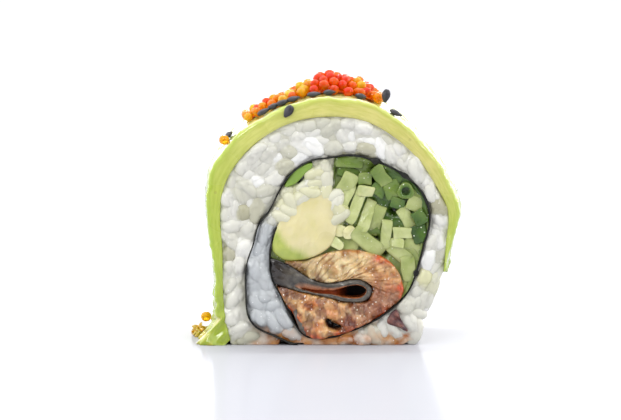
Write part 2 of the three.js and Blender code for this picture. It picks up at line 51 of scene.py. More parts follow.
FACE = round(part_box("avocado_slice_back")[1].y / MM, 1)
print("loaded", len(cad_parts), "nodes, the roll is", 2 * FACE, "mm deep")

# %% [markdown]
# Everything in a roll goes round its middle, so places are given as on a clock: an angle clockwise from the
# top as seen from the front, and a radius. A layer is two radii that change with the angle. They could be
# drawn by hand as curves, but a short table of radii every 15 degrees with a smooth line through it keeps
# neighbours together.

# %% Clock places and the radii of the layers
CENTRE_Z = 19.4
TURN = 360
TABLE_STEP = 15
FLOOR_SIDE = 30.0
BARREL = 0.5
NORI_THICK = 0.36
GAP = 0.28
BLANKET_OUTER = (225, [
    27.4, 25.0, 22.7, 22.8, 24.4, 26.4, 27.3, 27.4, 27.7, 28.0, 27.8, 27.0, 26.2, 25.7, 25.6, 23.1, 22.6,
    22.6,
])
RICE_OUTER = (195, [
    30.0, 30.0, 26.5, 23.2, 21.0, 20.4, 21.5, 22.9, 23.5, 23.9, 24.2, 24.2, 24.3, 23.7, 23.2, 22.9, 23.1,
    21.9, 22.1, 22.4, 24.2, 30.0, 30.0, 30.0, 30.0,
])
NORI = (195, [
    20.4, 20.5, 21.2, 18.5, 16.5, 14.6, 14.1, 13.2, 13.9, 15.3, 16.3, 16.6, 17.6, 18.2, 19.2, 20.1, 19.7,
    17.9, 17.3, 17.5, 17.1, 16.9, 17.1, 18.0, 18.2, 15.4, 13.5, 12.8, 11.9, 11.2, 10.8, 10.7,
])
TONGUE_INNER = (630, [10.9, 10.7, 10.5, 10.4, 10.5, 10.7, 10.6, 10.4])
BLANKET_START, BLANKET_END = 232.5, 463.5
NORI_START, NORI_END = 198.0, 648.0
RICE_START, RICE_END = 207.0, 723.0
TONGUE_START = NORI_START + TURN - 3
BARE_START, BARE_END = 466.0, 500.0


def smoothstep(low, high, x):
    """0 below low, 1 above high and a smooth S between them."""
    t = np.clip((x - low) / (high - low), 0, 1)
    return t * t * (3 - 2 * t)


def radius_at(table, angle):
    """The radius at an angle: a Catmull-Rom curve through the table's radii."""
    start, radii = table
    r = np.array(radii)
    place = np.clip((np.asarray(angle, float) - start) / TABLE_STEP, 0, len(r) - 1)
    i = np.minimum(place.astype(int), len(r) - 2)
    t = place - i
    a, b, c, d = (r[np.clip(i + k, 0, len(r) - 1)] for k in (-1, 0, 1, 2))
    return b + 0.5 * t * (c - a + t * (2 * a - 5 * b + 4 * c - d + t * (3 * (b - c) + d - a)))


def floor_radius(angle):
    """How far out the floor is in that direction: the height of the middle over the cosine from straight
    down."""
    down = -np.cos(np.radians(angle))
    return np.where(down > 0.05, CENTRE_Z / np.maximum(down, 0.05), 999.0)


def clock(angle, radius, y):
    """Points at a clock angle and radius: x is r sin a and z is the middle's height plus r cos a."""
    a = np.radians(angle)
    parts = np.broadcast_arrays(radius * np.sin(a), y, CENTRE_Z + radius * np.cos(a))
    return np.stack(parts, axis=-1).astype(float)


def nori_middle(angle):
    """The radius halfway through the nori: its table, kept off the floor."""
    return np.minimum(radius_at(NORI, angle), floor_radius(angle) - NORI_THICK / 2 - 0.1)


def rice_outer(angle):
    """The outside of the rice: its table, cut by the floor, and after a whole turn the inside of the nori."""
    angle = np.asarray(angle, float)
    first = np.minimum(radius_at(RICE_OUTER, angle), floor_radius(angle))
    return np.where(angle < TONGUE_START, first, nori_middle(angle - TURN) - NORI_THICK / 2 - GAP)


def rice_inner(angle):
    """The inside of the rice: the nori with a gap, and past its end the table of the tongue."""
    angle = np.asarray(angle, float)
    return np.where(angle < NORI_END, nori_middle(angle) + NORI_THICK / 2 + GAP,
                    radius_at(TONGUE_INNER, angle))


def filling_edge(x, z):
    """How far from the middle the filling may reach in the direction of x, z."""
    angle = np.degrees(np.arctan2(x, z - CENTRE_Z)) % TURN + TURN
    angle = np.where(angle < RICE_END - TURN, angle + TURN, angle)
    inside = nori_middle(angle) - NORI_THICK / 2
    return np.where(angle < NORI_END, inside, radius_at(TONGUE_INNER, angle))


print("rice goes round", round((RICE_END - RICE_START) / TURN, 2), "times")

# %% [markdown]
# Most of the pieces run through the roll from one cut to the other, so each is a closed skin over rings of
# points. A sculpted mesh could do it too, but rings make the same piece every time, and their numbers say
# what they are. Smooth unevenness comes from a few sine waves in seeded directions, which need no picture
# and have no seams.

# %% Skins over rings, and how a piece is put in the scene
def ripple(points, size, seed, waves=9):
    """A smooth bumpy value, mostly from -1 to 1: sine waves in seeded directions whose crests are one
    size apart."""
    rng = np.random.default_rng(seed)
    directions = rng.normal(size=(waves, 3))
    directions /= np.linalg.norm(directions, axis=1, keepdims=True)
    lengths = size * rng.uniform(0.7, 1.6, waves)
    phases = rng.uniform(0, 2 * np.pi, waves)
    waves_here = np.sin(np.asarray(points) @ (directions / lengths[:, None]).T * 2 * np.pi + phases)
    return waves_here.sum(-1) / math.sqrt(waves)


def through(corners, steps, closed=True):
    """A smooth line through the corners: Catmull-Rom curves, then read at steps equal distances."""
    p = np.array(corners, float)
    n = len(p)
    place = np.linspace(0, n if closed else n - 1, 12 * n + 1)
    i = np.minimum(place.astype(int), n - 1 if closed else n - 2)
    t = (place - i)[:, None]
    at = [(i + k) % n if closed else np.clip(i + k, 0, n - 1) for k in (-1, 0, 1, 2)]
    a, b, c, d = (p[k] for k in at)
    line = b + 0.5 * t * (c - a + t * (2 * a - 5 * b + 4 * c - d + t * (3 * (b - c) + d - a)))
    lengths = np.concatenate([[0], np.cumsum(np.linalg.norm(np.diff(line, axis=0), axis=1))])
    wanted = np.linspace(0, lengths[-1], steps + 1)[:-1] if closed else np.linspace(0, lengths[-1], steps)
    return np.stack([np.interp(wanted, lengths, line[:, k]) for k in range(p.shape[1])], axis=1)


def skin(rings, values=None, closed=False):
    """A skin over rings of points. A closed row of rings joins up; an open one ends in a pole at each end
    ring."""
    count, around = rings.shape[:2]
    i, j = np.meshgrid(np.arange(count if closed else count - 1), np.arange(around), indexing="ij")
    here, there = i * around, (i + 1) % count * around
    quads = np.stack([here + j, here + (j + 1) % around, there + (j + 1) % around, there + j],
                     -1).reshape(-1, 4)
    shape = {"points": rings.reshape(-1, 3), "quads": quads, "tris": np.zeros((0, 3), int)}
    shape["values"] = {k: np.broadcast_to(v, (count, around)).ravel() for k, v in (values or {}).items()}
    if not closed:
        poles = count * around
        edge, after = np.arange(around), (np.arange(around) + 1) % around
        last = (count - 1) * around
        first_fan = np.stack([after, edge, np.full(around, poles)], -1)
        last_fan = np.stack([last + edge, last + after, np.full(around, poles + 1)], -1)
        shape["tris"] = np.concatenate([first_fan, last_fan])
        shape["points"] = np.concatenate([shape["points"], rings[[0, -1]].mean(1)])
        for k, v in shape["values"].items():
            v = v.reshape(count, around)
            shape["values"][k] = np.concatenate([v.ravel(), v[[0, -1]].mean(1)])
    return outward(shape)


def outward(shape):
    """Turns every face round when the signed volume is negative, so that faces point out."""
    p, q = shape["points"], shape["quads"]
    corners = np.concatenate([q[:, :3], q[:, [0, 2, 3]], shape["tris"]])
    a, b, c = (p[corners[:, k]] for k in range(3))
    if np.einsum("ij,ij->", a, np.cross(b, c)) < 0:
        shape["quads"], shape["tris"] = q[:, ::-1], shape["tris"][:, ::-1]
    return shape


def together(shapes):
    """Several shapes as one, their faces counted on from one to the next."""
    names = set().union(*(s["values"] for s in shapes))
    starts = np.cumsum([0] + [len(s["points"]) for s in shapes[:-1]])
    return {
        "points": np.concatenate([s["points"] for s in shapes]),
        "quads": np.concatenate([s["quads"] + k for s, k in zip(shapes, starts)]),
        "tris": np.concatenate([s["tris"] + k for s, k in zip(shapes, starts)]),
        "values": {
            n: np.concatenate([s["values"].get(n, np.zeros(len(s["points"]))) for s in shapes]) for n in names
        },
    }


def stamped(shape, frames, places, values=None):
    """Copies of a small shape: each is its points times a 3 by 3 frame, moved to a place."""
    count, size = len(places), len(shape["points"])
    points = np.einsum("nij,pj->npi", frames, shape["points"]) + places[:, None]
    offsets = (np.arange(count) * size)[:, None, None]
    made = {
        "points": points.reshape(-1, 3),
        "quads": (shape["quads"][None] + offsets).reshape(-1, 4),
        "tris": (shape["tris"][None] + offsets).reshape(-1, 3),
        "values": {k: np.tile(v, count) for k, v in shape["values"].items()},
    }
    for k, v in (values or {}).items():
        made["values"][k] = np.repeat(v, size)
    return made


def put(name, shape, finish, slot, *nodes):
    """Puts a shape in the scene in metres, smooth, with its values as attributes, riding on the roll."""
    mesh = bpy.data.meshes.new(name)
    loops = np.concatenate([shape["quads"].ravel(), shape["tris"].ravel()]).astype(np.int32)
    fours, threes = len(shape["quads"]), len(shape["tris"])
    starts = np.concatenate([np.arange(fours) * 4, fours * 4 + np.arange(threes) * 3]).astype(np.int32)
    mesh.vertices.add(len(shape["points"]))
    mesh.vertices.foreach_set("co", (shape["points"] * MM).astype(np.float32).ravel())
    mesh.loops.add(len(loops))
    mesh.loops.foreach_set("vertex_index", loops)
    mesh.polygons.add(fours + threes)
    mesh.polygons.foreach_set("loop_start", starts)
    mesh.update(calc_edges=True)
    mesh.shade_smooth()
    for key, value in shape["values"].items():
        layer = mesh.attributes.new(key, "FLOAT", "POINT")
        layer.data.foreach_set("value", np.asarray(value, np.float32))
    mesh.materials.append(finish)
    piece = bpy.data.objects.new(name, mesh)
    bpy.context.scene.collection.objects.link(piece)
    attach(piece, "root")
    if nodes:
        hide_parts(*nodes)
    print(name, fours + threes, "faces, height", round(float(shape["points"][:, 2].max()), 1), "mm")


print("a wave of size 3 mm at the middle is", round(float(ripple(np.zeros((1, 3)), 3.0, 0)[0]), 2))

# %% [markdown]
# Two kinds of ring serve nearly every piece. A layer or a folded fillet is ruled: it fills the space
# between two rails, and its section is a square with rounded corners. A wedge or a stick is a slug: its
# outline is shrunk towards its middle at each cut, and the rim is rounded over. Modifiers such as Bevel
# could round the rims as well, but here the same numbers also give each point its share from rail to rail,
# which the finishes use.

# %% Ruled layers and slugs
def rounded_square(depth_round, across_round, corner, along_depth, along_across):
    """A unit square with round corners, as shares of depth and across, for one pair of radii a row."""
    du, dv = np.broadcast_arrays(np.atleast_1d(depth_round), np.atleast_1d(across_round))
    turns = np.linspace(0, np.pi / 2, corner + 1)
    rows = []
    for quarter, (right, top) in enumerate([(1, 1), (0, 1), (0, 0), (1, 0)]):
        angles = turns + quarter * np.pi / 2
        u = np.where(right, 1 - du, du)[:, None] + du[:, None] * np.cos(angles)
        v = np.where(top, 1 - dv, dv)[:, None] + dv[:, None] * np.sin(angles)
        rows.append(np.stack([u, v], -1))
    parts = []
    for k, arc in enumerate(rows):
        following = rows[(k + 1) % 4]
        steps = along_depth if k % 2 == 0 else along_across
        shares = (np.arange(1, steps + 1) / (steps + 1))[None, :, None]
        parts += [arc, arc[:, -1:] + shares * (following[:, :1] - arc[:, -1:])]
    both = np.concatenate(parts, axis=1)
    return both[..., 0], both[..., 1]


def ruled(inner, outer, front, back, rim=0.35, corner=3, along_depth=10, along_across=6):
    """Rings between two rails of x, z points: v goes from the inner rail to the outer, u from front to
    back."""
    width = np.linalg.norm(outer - inner, axis=1)
    depth = np.broadcast_to(back - front, width.shape)
    share_deep, share_across = np.minimum(rim / depth, 0.5), np.minimum(rim / np.maximum(width, 1e-3), 0.5)
    u, v = rounded_square(share_deep, share_across, corner, along_depth, along_across)
    flat = inner[:, None] + (outer - inner)[:, None] * v[..., None]
    y = np.broadcast_to(front, width.shape)[:, None] + depth[:, None] * u
    return np.stack([flat[..., 0], y, flat[..., 1]], -1), u, v


SIDE_RINGS = 4


def slug(outline, front, back, rim=0.4, dome=0.3, face_rings=5):
    """Rings of an outline: shrunk to the middle over each domed cut, rounded at the rim and straight
    between."""
    middle = outline.mean(0)
    reach = np.linalg.norm(outline - middle, axis=1).mean()
    soft = rim / reach
    share = np.arange(1, face_rings + 1) / face_rings
    turn = np.linspace(0, np.pi / 2, 5)[1:]
    scale = np.concatenate([share * (1 - soft), 1 - soft + soft * np.sin(turn)])
    sink = np.concatenate([-dome * (1 - share**2), rim * (1 - np.cos(turn))])
    between = np.linspace(front + rim, back - rim, SIDE_RINGS + 2)[1:-1]
    y = np.concatenate([front + sink, between, back - sink[::-1]])
    scales = np.concatenate([scale, np.ones(SIDE_RINGS), scale[::-1]])
    flat = middle + scales[:, None, None] * (outline - middle)
    rings = np.stack([flat[..., 0], np.broadcast_to(y[:, None], flat.shape[:2]), flat[..., 1]], -1)
    return rings, np.broadcast_to(scales[:, None], flat.shape[:2])


def near_cuts(y, within=2.0):
    """1 at either cut and 0 further than a few millimetres in."""
    return 1 - smoothstep(0, within, FACE - np.abs(y))


def held_inside(rings, clearance=0.04, over=0.0):
    """Points further out than the filling's edge are drawn back to it, or a little over it at the bottom."""
    x, z = rings[..., 0], rings[..., 2] - CENTRE_Z
    radius = np.hypot(x, z)
    angle = np.degrees(np.arctan2(x, z)) % TURN
    at_bottom = smoothstep(164, 170, angle) * (1 - smoothstep(188, 194, angle))
    limit = filling_edge(x, rings[..., 2]) - clearance + over * at_bottom
    share = np.minimum(1, limit / np.maximum(radius, 1e-6))
    rings[..., 0], rings[..., 2] = x * share, CENTRE_Z + z * share
    return rings


def near(rings, x, z, reach):
    """1 at x, z and falling away over a reach, as a bell."""
    return np.exp(-((rings[..., 0] - x) ** 2 + (rings[..., 2] - z) ** 2) / reach**2)


def spots(rings, table):
    """The sum of bells over a table of x, z, reach and strength."""
    return sum(strength * near(rings, x, z, reach) for x, z, reach, strength in table)


print("a slug has", slug(through([(0, 0), (1, 0), (1, 1)], 12), -1, 1)[0].shape, "points")

# %% [markdown]
# Food looks alive when no surface has one colour and none is evenly wet. Three effects do most of that
# work, and they are made once, as node groups: a mottle that drifts between two colours, a film of moisture
# that gives a fine relief and an uneven roughness, and specks, which mark bruises and painted glints. The
# shader itself stays in each material, with its constant values.

# %% Node helpers and the shared effects
def paint(red, green, blue):
    """A colour from its 0 to 255 values on screen, as the linear light that the shader takes."""
    c = np.array([red, green, blue]) / 255
    linear = np.where(c <= 0.04045, c / 12.92, ((c + 0.055) / 1.055) ** 2.4)
    return (*(float(v) for v in linear), 1.0)


def node(tree, kind, inputs=None, **settings):
    """A node with its settings and inputs: a socket that is passed in is linked, and a value is set."""
    made = tree.nodes.new(kind)
    for key, value in settings.items():
        setattr(made, key, value)
    for key, value in (inputs or {}).items():
        if isinstance(value, bpy.types.NodeSocket):
            tree.links.new(value, made.inputs[key])
        else:
            made.inputs[key].default_value = value
    return made


def mixed(tree, factor, first, second, blend="MIX"):
    """Two colours mixed: inputs 6 and 7 of a Mix node are its colours, and output 2 is the result."""
    return node(tree, "ShaderNodeMix", {0: factor, 6: first, 7: second}, data_type="RGBA",
                blend_type=blend).outputs[2]


def ramp(tree, factor, stops):
    """A colour ramp with a list of places and colours."""
    made = node(tree, "ShaderNodeValToRGB", {"Fac": factor})
    points = made.color_ramp.elements
    while len(points) < len(stops):
        points.new(0.5)
    for point, (place, colour) in zip(points, stops):
        point.position = place
        point.color = colour
    return made.outputs["Color"]


def span(tree, value, low, high, to_low=0.0, to_high=1.0):
    """A value moved from one range to another and kept inside it."""
    inputs = {"Value": value, "From Min": low, "From Max": high, "To Min": to_low, "To Max": to_high}
    return node(tree, "ShaderNodeMapRange", inputs).outputs["Result"]


def sum_of(tree, operation, first, second):
    """Two values put together by one operation of a Math node."""
    return node(tree, "ShaderNodeMath", {0: first, 1: second}, operation=operation).outputs["Value"]


def value_of(tree, name):
    """The piece's own attribute of that name."""
    return node(tree, "ShaderNodeAttribute", attribute_name=name).outputs["Fac"]


def place_of(tree):
    """The point's place on its own piece, in metres."""
    return node(tree, "ShaderNodeTexCoord").outputs["Object"]


def effect(name, inputs, outputs):
    """A node group with named sockets: a dict of inputs with their kinds and a dict of outputs with
    theirs."""
    group = bpy.data.node_groups.new(name, "ShaderNodeTree")
    for key, kind in inputs.items():
        group.interface.new_socket(key, in_out="INPUT", socket_type=kind)
    for key, kind in outputs.items():
        group.interface.new_socket(key, in_out="OUTPUT", socket_type=kind)
    return group, group.nodes.new("NodeGroupInput").outputs, group.nodes.new("NodeGroupOutput").inputs


FLOAT, COLOUR, VECTOR = "NodeSocketFloat", "NodeSocketColor", "NodeSocketVector"

mottle, inlet, outlet = effect(
    "mottle",
    {"Place": VECTOR, "Scale": FLOAT, "Contrast": FLOAT, "First": COLOUR, "Second": COLOUR},
    {"Colour": COLOUR, "Mask": FLOAT},
)
cloud = node(mottle, "ShaderNodeTexNoise", {"Vector": inlet["Place"], "Scale": inlet["Scale"], "Detail": 4.0})
share = sum_of(mottle, "MULTIPLY", span(mottle, cloud.outputs["Fac"], 0.36, 0.64), inlet["Contrast"])
mottle.links.new(mixed(mottle, share, inlet["First"], inlet["Second"]), outlet["Colour"])
mottle.links.new(share, outlet["Mask"])

moisture, inlet, outlet = effect(
    "moisture",
    {"Place": VECTOR, "Scale": FLOAT, "Dry": FLOAT, "Wet": FLOAT},
    {"Height": FLOAT, "Roughness": FLOAT},
)
fine = node(moisture, "ShaderNodeTexNoise",
            {"Vector": inlet["Place"], "Scale": inlet["Scale"], "Detail": 3.0})
coarse_scale = sum_of(moisture, "MULTIPLY", inlet["Scale"], 0.22)
coarse = node(moisture, "ShaderNodeTexNoise",
              {"Vector": inlet["Place"], "Scale": coarse_scale, "Detail": 2.0})
height = sum_of(moisture, "MULTIPLY_ADD", coarse.outputs["Fac"], 2.0)
moisture.links.new(fine.outputs["Fac"], height.node.inputs[2])
moisture.links.new(height, outlet["Height"])
wetness = span(moisture, coarse.outputs["Fac"], 0.4, 0.6, inlet["Dry"], inlet["Wet"])
moisture.links.new(wetness, outlet["Roughness"])

specks, inlet, outlet = effect("specks", {"Place": VECTOR, "Scale": FLOAT, "Size": FLOAT}, {"Mask": FLOAT})
cells = node(specks, "ShaderNodeTexVoronoi", {"Vector": inlet["Place"], "Scale": inlet["Scale"]})
dot = node(specks, "ShaderNodeMath", {0: cells.outputs["Distance"], 1: inlet["Size"]}, operation="LESS_THAN")
chosen = node(specks, "ShaderNodeSeparateColor", {"Color": cells.outputs["Color"]}).outputs["Red"]
few = node(specks, "ShaderNodeMath", {0: chosen, 1: 0.72}, operation="GREATER_THAN").outputs["Value"]
specks.links.new(sum_of(specks, "MULTIPLY", dot.outputs["Value"], few), outlet["Mask"])
print("effects:", [group.name for group in bpy.data.node_groups])


def placed(tree, group, **inputs):
    """An effect placed in a material with its own values."""
    made = node(tree, "ShaderNodeGroup", node_tree=group)
    for key, value in inputs.items():
        if isinstance(value, bpy.types.NodeSocket):
            tree.links.new(value, made.inputs[key])
        else:
            made.inputs[key].default_value = value
    return made.outputs


def finish(name, colour, moist_scale, dry, wet_sheen, relief, **constants):
    """A moist material: colour(tree) gives its colour, the moisture its roughness and relief in metres."""
    material = bpy.data.materials.new(name)
    material.use_nodes = True
    tree = material.node_tree
    shader = tree.nodes["Principled BSDF"]
    for key, value in constants.items():
        shader.inputs[key.replace("_", " ")].default_value = value
    tree.links.new(colour(tree), shader.inputs["Base Color"])
    sheen_patches = placed(tree, moisture, Place=place_of(tree), Scale=moist_scale, Dry=dry, Wet=wet_sheen)
    tree.links.new(sheen_patches["Roughness"], shader.inputs["Roughness"])
    bump = node(tree, "ShaderNodeBump", {"Strength": 1.0, "Distance": relief, "Height": sheen_patches["Height"]})
    tree.links.new(bump.outputs["Normal"], shader.inputs["Normal"])
    print("finish:", name)
    return material


def soft_light(weight, deep_mm, red=1.0, green=1.0, blue=1.0):
    """The constants of light that goes into the food and comes out beside where it went in."""
    return {
        "Subsurface_Weight": weight,
        "Subsurface_Radius": (red, green, blue),
        "Subsurface_Scale": deep_mm * MM,
    }


# %% [markdown]
# Cooked rice is milky and slightly see-through, bluish where it is thick and dark where grains touch. A
# single lumpy mesh would lose the grains, so each one is a small bent spindle, laid so that it overlaps its
# neighbours only a little. A few dozen faces are enough for one grain, because there are many hundreds of
# them.

# %% The finish of the rice
def rice_colour(tree):
    """Each grain's own shade, with painted shade in part of the sticky rice's creases, then a blue cast in
    the tongue, a lime one by the avocado, sauce at the foot and white dots as painted glints."""
    shade = ramp(tree, value_of(tree, "shade"), [(0.0, paint(174, 171, 146)), (0.16, paint(200, 199, 185)),
                                                (0.45, paint(216, 215, 206)), (0.8, paint(229, 228, 222)),
                                                (1.0, paint(242, 242, 240))])
    cool = mixed(tree, value_of(tree, "cool"), shade, paint(190, 195, 202))
    lime = mixed(tree, value_of(tree, "lime"), cool, paint(216, 214, 160))
    sauce = placed(tree, mottle, Place=place_of(tree), Scale=420.0, Contrast=1.0, First=paint(206, 150, 92),
                   Second=paint(168, 98, 44))
    patchy = placed(tree, mottle, Place=place_of(tree), Scale=260.0, Contrast=1.0, First=paint(0, 0, 0),
                    Second=paint(255, 255, 255))
    stain = sum_of(tree, "MULTIPLY", value_of(tree, "stain"), sum_of(tree, "ADD", patchy["Mask"], 0.3))
    stained = mixed(tree, stain, lime, sauce["Colour"])
    # White dots painted into the colour as glints.
    glint_dots = placed(tree, specks, Place=place_of(tree), Scale=1300.0, Size=0.15)
    return mixed(tree, sum_of(tree, "MULTIPLY", glint_dots["Mask"], 0.6), stained, paint(254, 254, 254))


RICE_FINISH = finish("rice grains", rice_colour, 1100.0, 0.46, 0.24, 0.00004, Coat_Weight=0.2,
                     Coat_Roughness=0.12, **soft_light(0.25, 0.3))

# %% Where the rice may reach
SLIVER_MIDDLE, SLIVER_HALF, SLIVER_THICK = 695.0, 13.0, 2.2


def sliver_depth(angle):
    """How deep the green sliver is at an angle: a parabola over its width."""
    return SLIVER_THICK * np.clip(1 - ((np.asarray(angle) - SLIVER_MIDDLE) / SLIVER_HALF) ** 2, 0, 1)


def rice_limit(angle):
    """The outside of the rice with room left for the sliver."""
    depth = sliver_depth(angle)
    return rice_outer(angle) - depth - GAP * (depth > 0)


def bare(angle):
    """1 on the stretch at the lower right that no avocado covers, and 0 elsewhere."""
    return smoothstep(BARE_START - 3, BARE_START + 2, angle) * (1 - smoothstep(BARE_END, BARE_END + 4, angle))


def low_corner(angle):
    """1 where the bare side comes down to the floor, and 0 elsewhere."""
    return smoothstep(480, 490, angle) * (1 - smoothstep(502, 508, angle))


KNOT_X, KNOT_Z, KNOT_REACH = 18.4, 12.6, 1.7
DRIP_X, DRIP_Z, DRIP_WIDE, DRIP_HIGH = 3.4, 2.2, 0.9, 1.7


def rice_values(x, z, angle, shade, lime_share):
    """The shade, blue cast, lime cast and sauce stain of rice at a place in the spiral."""
    in_tongue = smoothstep(TONGUE_START - 5, TONGUE_START + 20, angle)
    upper = smoothstep(22, 27, z)
    by_the_knot = np.exp(-((x - KNOT_X) ** 2 + (z - KNOT_Z) ** 2) / KNOT_REACH**2)
    dripped = np.exp(-((x - DRIP_X) ** 2 / DRIP_WIDE**2 + (z - DRIP_Z) ** 2 / DRIP_HIGH**2))
    soaked = 0.6 * (1 - smoothstep(1.0, 3.4, z)) + 0.7 * (1 - smoothstep(0.3, 1.4, z))
    under_eel = smoothstep(-16, -12, x) * (1 - smoothstep(13, 17, x))
    return {
        "shade": shade,
        "cool": in_tongue * (1 - upper) * 0.95,
        "lime": in_tongue * upper * lime_share + 0.08 + 0.9 * by_the_knot,
        "stain": soaked * under_eel + 0.9 * dripped,
    }


print("the sliver is", SLIVER_THICK, "mm thick")

# %% One grain of rice
def grain_shape():
    """A spindle 1 long and 1 wide: at share t of its length the radius is (1 - t^2) to the 0.42, bent a
    little."""
    t = np.sin(np.linspace(-np.pi / 2, np.pi / 2, 9))[1:-1]
    radius = 0.5 * (1 - t**2) ** 0.42
    turn = np.arange(10) / 10 * 2 * np.pi
    x = np.broadcast_to(0.5 * t[:, None], (7, 10))
    bend = 0.1 * (t**2 - 0.5)
    y = radius[:, None] * np.cos(turn)
    z = radius[:, None] * np.sin(turn) + bend[:, None]
    return skin(np.stack([x, y, z], -1))


GRAIN = grain_shape()
GRAIN_LONG, GRAIN_WIDE = 5.4, 3.1
print("one grain has", len(GRAIN["quads"]) + len(GRAIN["tris"]), "faces")


def grain_frames(turn, tilt, roll, sizes):
    """Frames for grains: rolled on their length, tilted out of the cut and turned in it, then sized."""
    zero, one = np.zeros_like(turn), np.ones_like(turn)
    ct, st = np.cos(turn), np.sin(turn)
    cl, sl = np.cos(tilt), np.sin(tilt)
    cr, sr = np.cos(roll), np.sin(roll)
    turned = np.array([[ct, zero, st], [zero, one, zero], [-st, zero, ct]])
    tilted = np.array([[cl, -sl, zero], [sl, cl, zero], [zero, zero, one]])
    rolled = np.array([[one, zero, zero], [zero, cr, -sr], [zero, sr, cr]])
    frames = np.einsum("ijn,jkn,kln->nil", turned, tilted, rolled)
    return frames * sizes[:, None, :]


# %% [markdown]
# Rice in a roll is squeezed until every grain has found its place. Dropping grains at random leaves holes,
# so here they are pushed apart: each grain is three spots on its length, and spots of two grains that are
# too near each other move away until the grains lie side by side, while the edges of the layer hold them in
# and turn them.

# %% Pushing grains apart
ROUNDS = 70


def relaxed(middles, turns, half, hold, clearance):
    """Spots nearer than the clearance move apart by a share of what is missing; hold puts them back in
    the layer."""
    owner = np.repeat(np.arange(len(turns)), 3)
    others = owner[:, None] != owner[None]
    steps = np.array([-1.0, 0.0, 1.0])
    for _ in range(ROUNDS):
        way = np.stack([np.cos(turns), -np.sin(turns)], -1)
        three = middles[:, None] + steps[None, :, None] * half[:, None, None] * way[:, None]
        flat = three.reshape(-1, 2)
        apart = flat[:, None] - flat[None]
        distance = np.maximum(np.linalg.norm(apart, axis=-1), 1e-6)
        push = np.where(others, np.maximum(clearance - distance, 0) / distance, 0)
        moves = 0.25 * np.einsum("ij,ijk->ik", push, apart).reshape(three.shape)
        moves = hold(three + moves) - three
        middles = middles + moves.mean(1)
        swing = np.stack([-np.sin(turns), -np.cos(turns)], -1)
        lever = (steps * (moves * swing[:, None]).sum(-1)).sum(1) * half
        turns = turns + lever / (2 * half**2)
    return middles, turns


def held_in_rice(turn_of_rice, margin):
    """A hold for grains at a cut: spots are put back between the inside and the outside of their turn of
    rice."""
    def hold(places):
        x, z = places[..., 0], places[..., 1] - CENTRE_Z
        angle = np.degrees(np.arctan2(x, z))
        angle = angle + TURN * np.round((turn_of_rice[:, None] - angle) / TURN)
        angle = np.clip(angle, RICE_START + 8, RICE_END - 6)
        low, high = rice_inner(angle) + margin, rice_limit(angle) - margin
        middle = (low + high) / 2
        radius = np.clip(np.hypot(x, z), np.minimum(low, middle), np.maximum(high, middle))
        return clock(angle, radius, 0.0)[..., [0, 2]]
    return hold


print("grains are pushed apart in", ROUNDS, "rounds")

# %% Grains at the two cuts
GRAINS_AT_CUT = 118
GRAIN_SPACE = 2.2


def cut_grains(seed):
    """Where the grains of one cut lie, side by side: middles, turns, sizes and how far each top stands
    proud."""
    rng = np.random.default_rng(seed)
    angle = rng.uniform(RICE_START + 8, RICE_END - 6, 6000)
    radius = FLOOR_SIDE * np.sqrt(rng.random(6000))
    roomy = rice_limit(angle) - rice_inner(angle) > 1.9
    fits = roomy & (radius > rice_inner(angle) + 0.8) & (radius < rice_limit(angle) - 0.8)
    angle, radius = angle[fits][:GRAINS_AT_CUT], radius[fits][:GRAINS_AT_CUT]
    n = len(angle)
    long = GRAIN_LONG * rng.uniform(0.66, 1.12, n)
    middles, turns = relaxed(clock(angle, radius, 0.0)[:, [0, 2]], rng.uniform(0, np.pi, n),
                             (long - GRAIN_WIDE * 0.85) / 2, held_in_rice(angle, 1.15), GRAIN_SPACE)
    at = np.degrees(np.arctan2(middles[:, 0], middles[:, 1] - CENTRE_Z))
    at = at + TURN * np.round((angle - at) / TURN)
    wide = np.minimum(GRAIN_WIDE * rng.uniform(0.82, 1.12, n), rice_limit(at) - rice_inner(at) + 0.5)
    return {"middles": middles, "turns": turns, "angle": at, "long": long, "wide": wide,
            "proud": rng.uniform(-0.62, 0.4, n), "shade": np.clip(rng.normal(0.58, 0.27, n), 0, 1),
            "rng": rng}


def loose_grains(grains, face):
    """The grains themselves, each rolled and tilted its own way, with its top at its own height."""
    rng, n = grains["rng"], len(grains["turns"])
    thick = grains["wide"] * rng.uniform(0.8, 1.0, n)
    sizes = np.stack([grains["long"], thick, grains["wide"]], -1)
    frames = grain_frames(grains["turns"], rng.normal(0, 0.1, n), rng.uniform(-0.3, 0.3, n), sizes)
    x, z = grains["middles"].T
    y = face * (FACE + grains["proud"] - thick / 2)
    values = rice_values(x, z, grains["angle"], grains["shade"], rng.uniform(0.05, 0.6, n))
    made = stamped(GRAIN, frames, np.stack([x, y, z], -1), values)
    for axis in range(3):
        made["points"][:, axis] += 0.09 * ripple(made["points"], 1.7, 90 + axis)
    made["points"][:, 2] = np.maximum(made["points"][:, 2], 0.02)
    made["points"][:, 1] = np.clip(made["points"][:, 1], -FACE - 0.6, FACE + 0.6)
    return made


cuts = {face: cut_grains(20 + face) for face in (-1, 1)}
print("grains at each cut:", [len(grains["turns"]) for grains in cuts.values()])

# %% The sticky rice between the grains
DOME_DROP, JOIN_SOFT, PIT_LEVEL = 0.8, 0.09, -0.8
PRESSED_IN = 0.35       # how far the sticky rice is pressed against the nori, past the grains


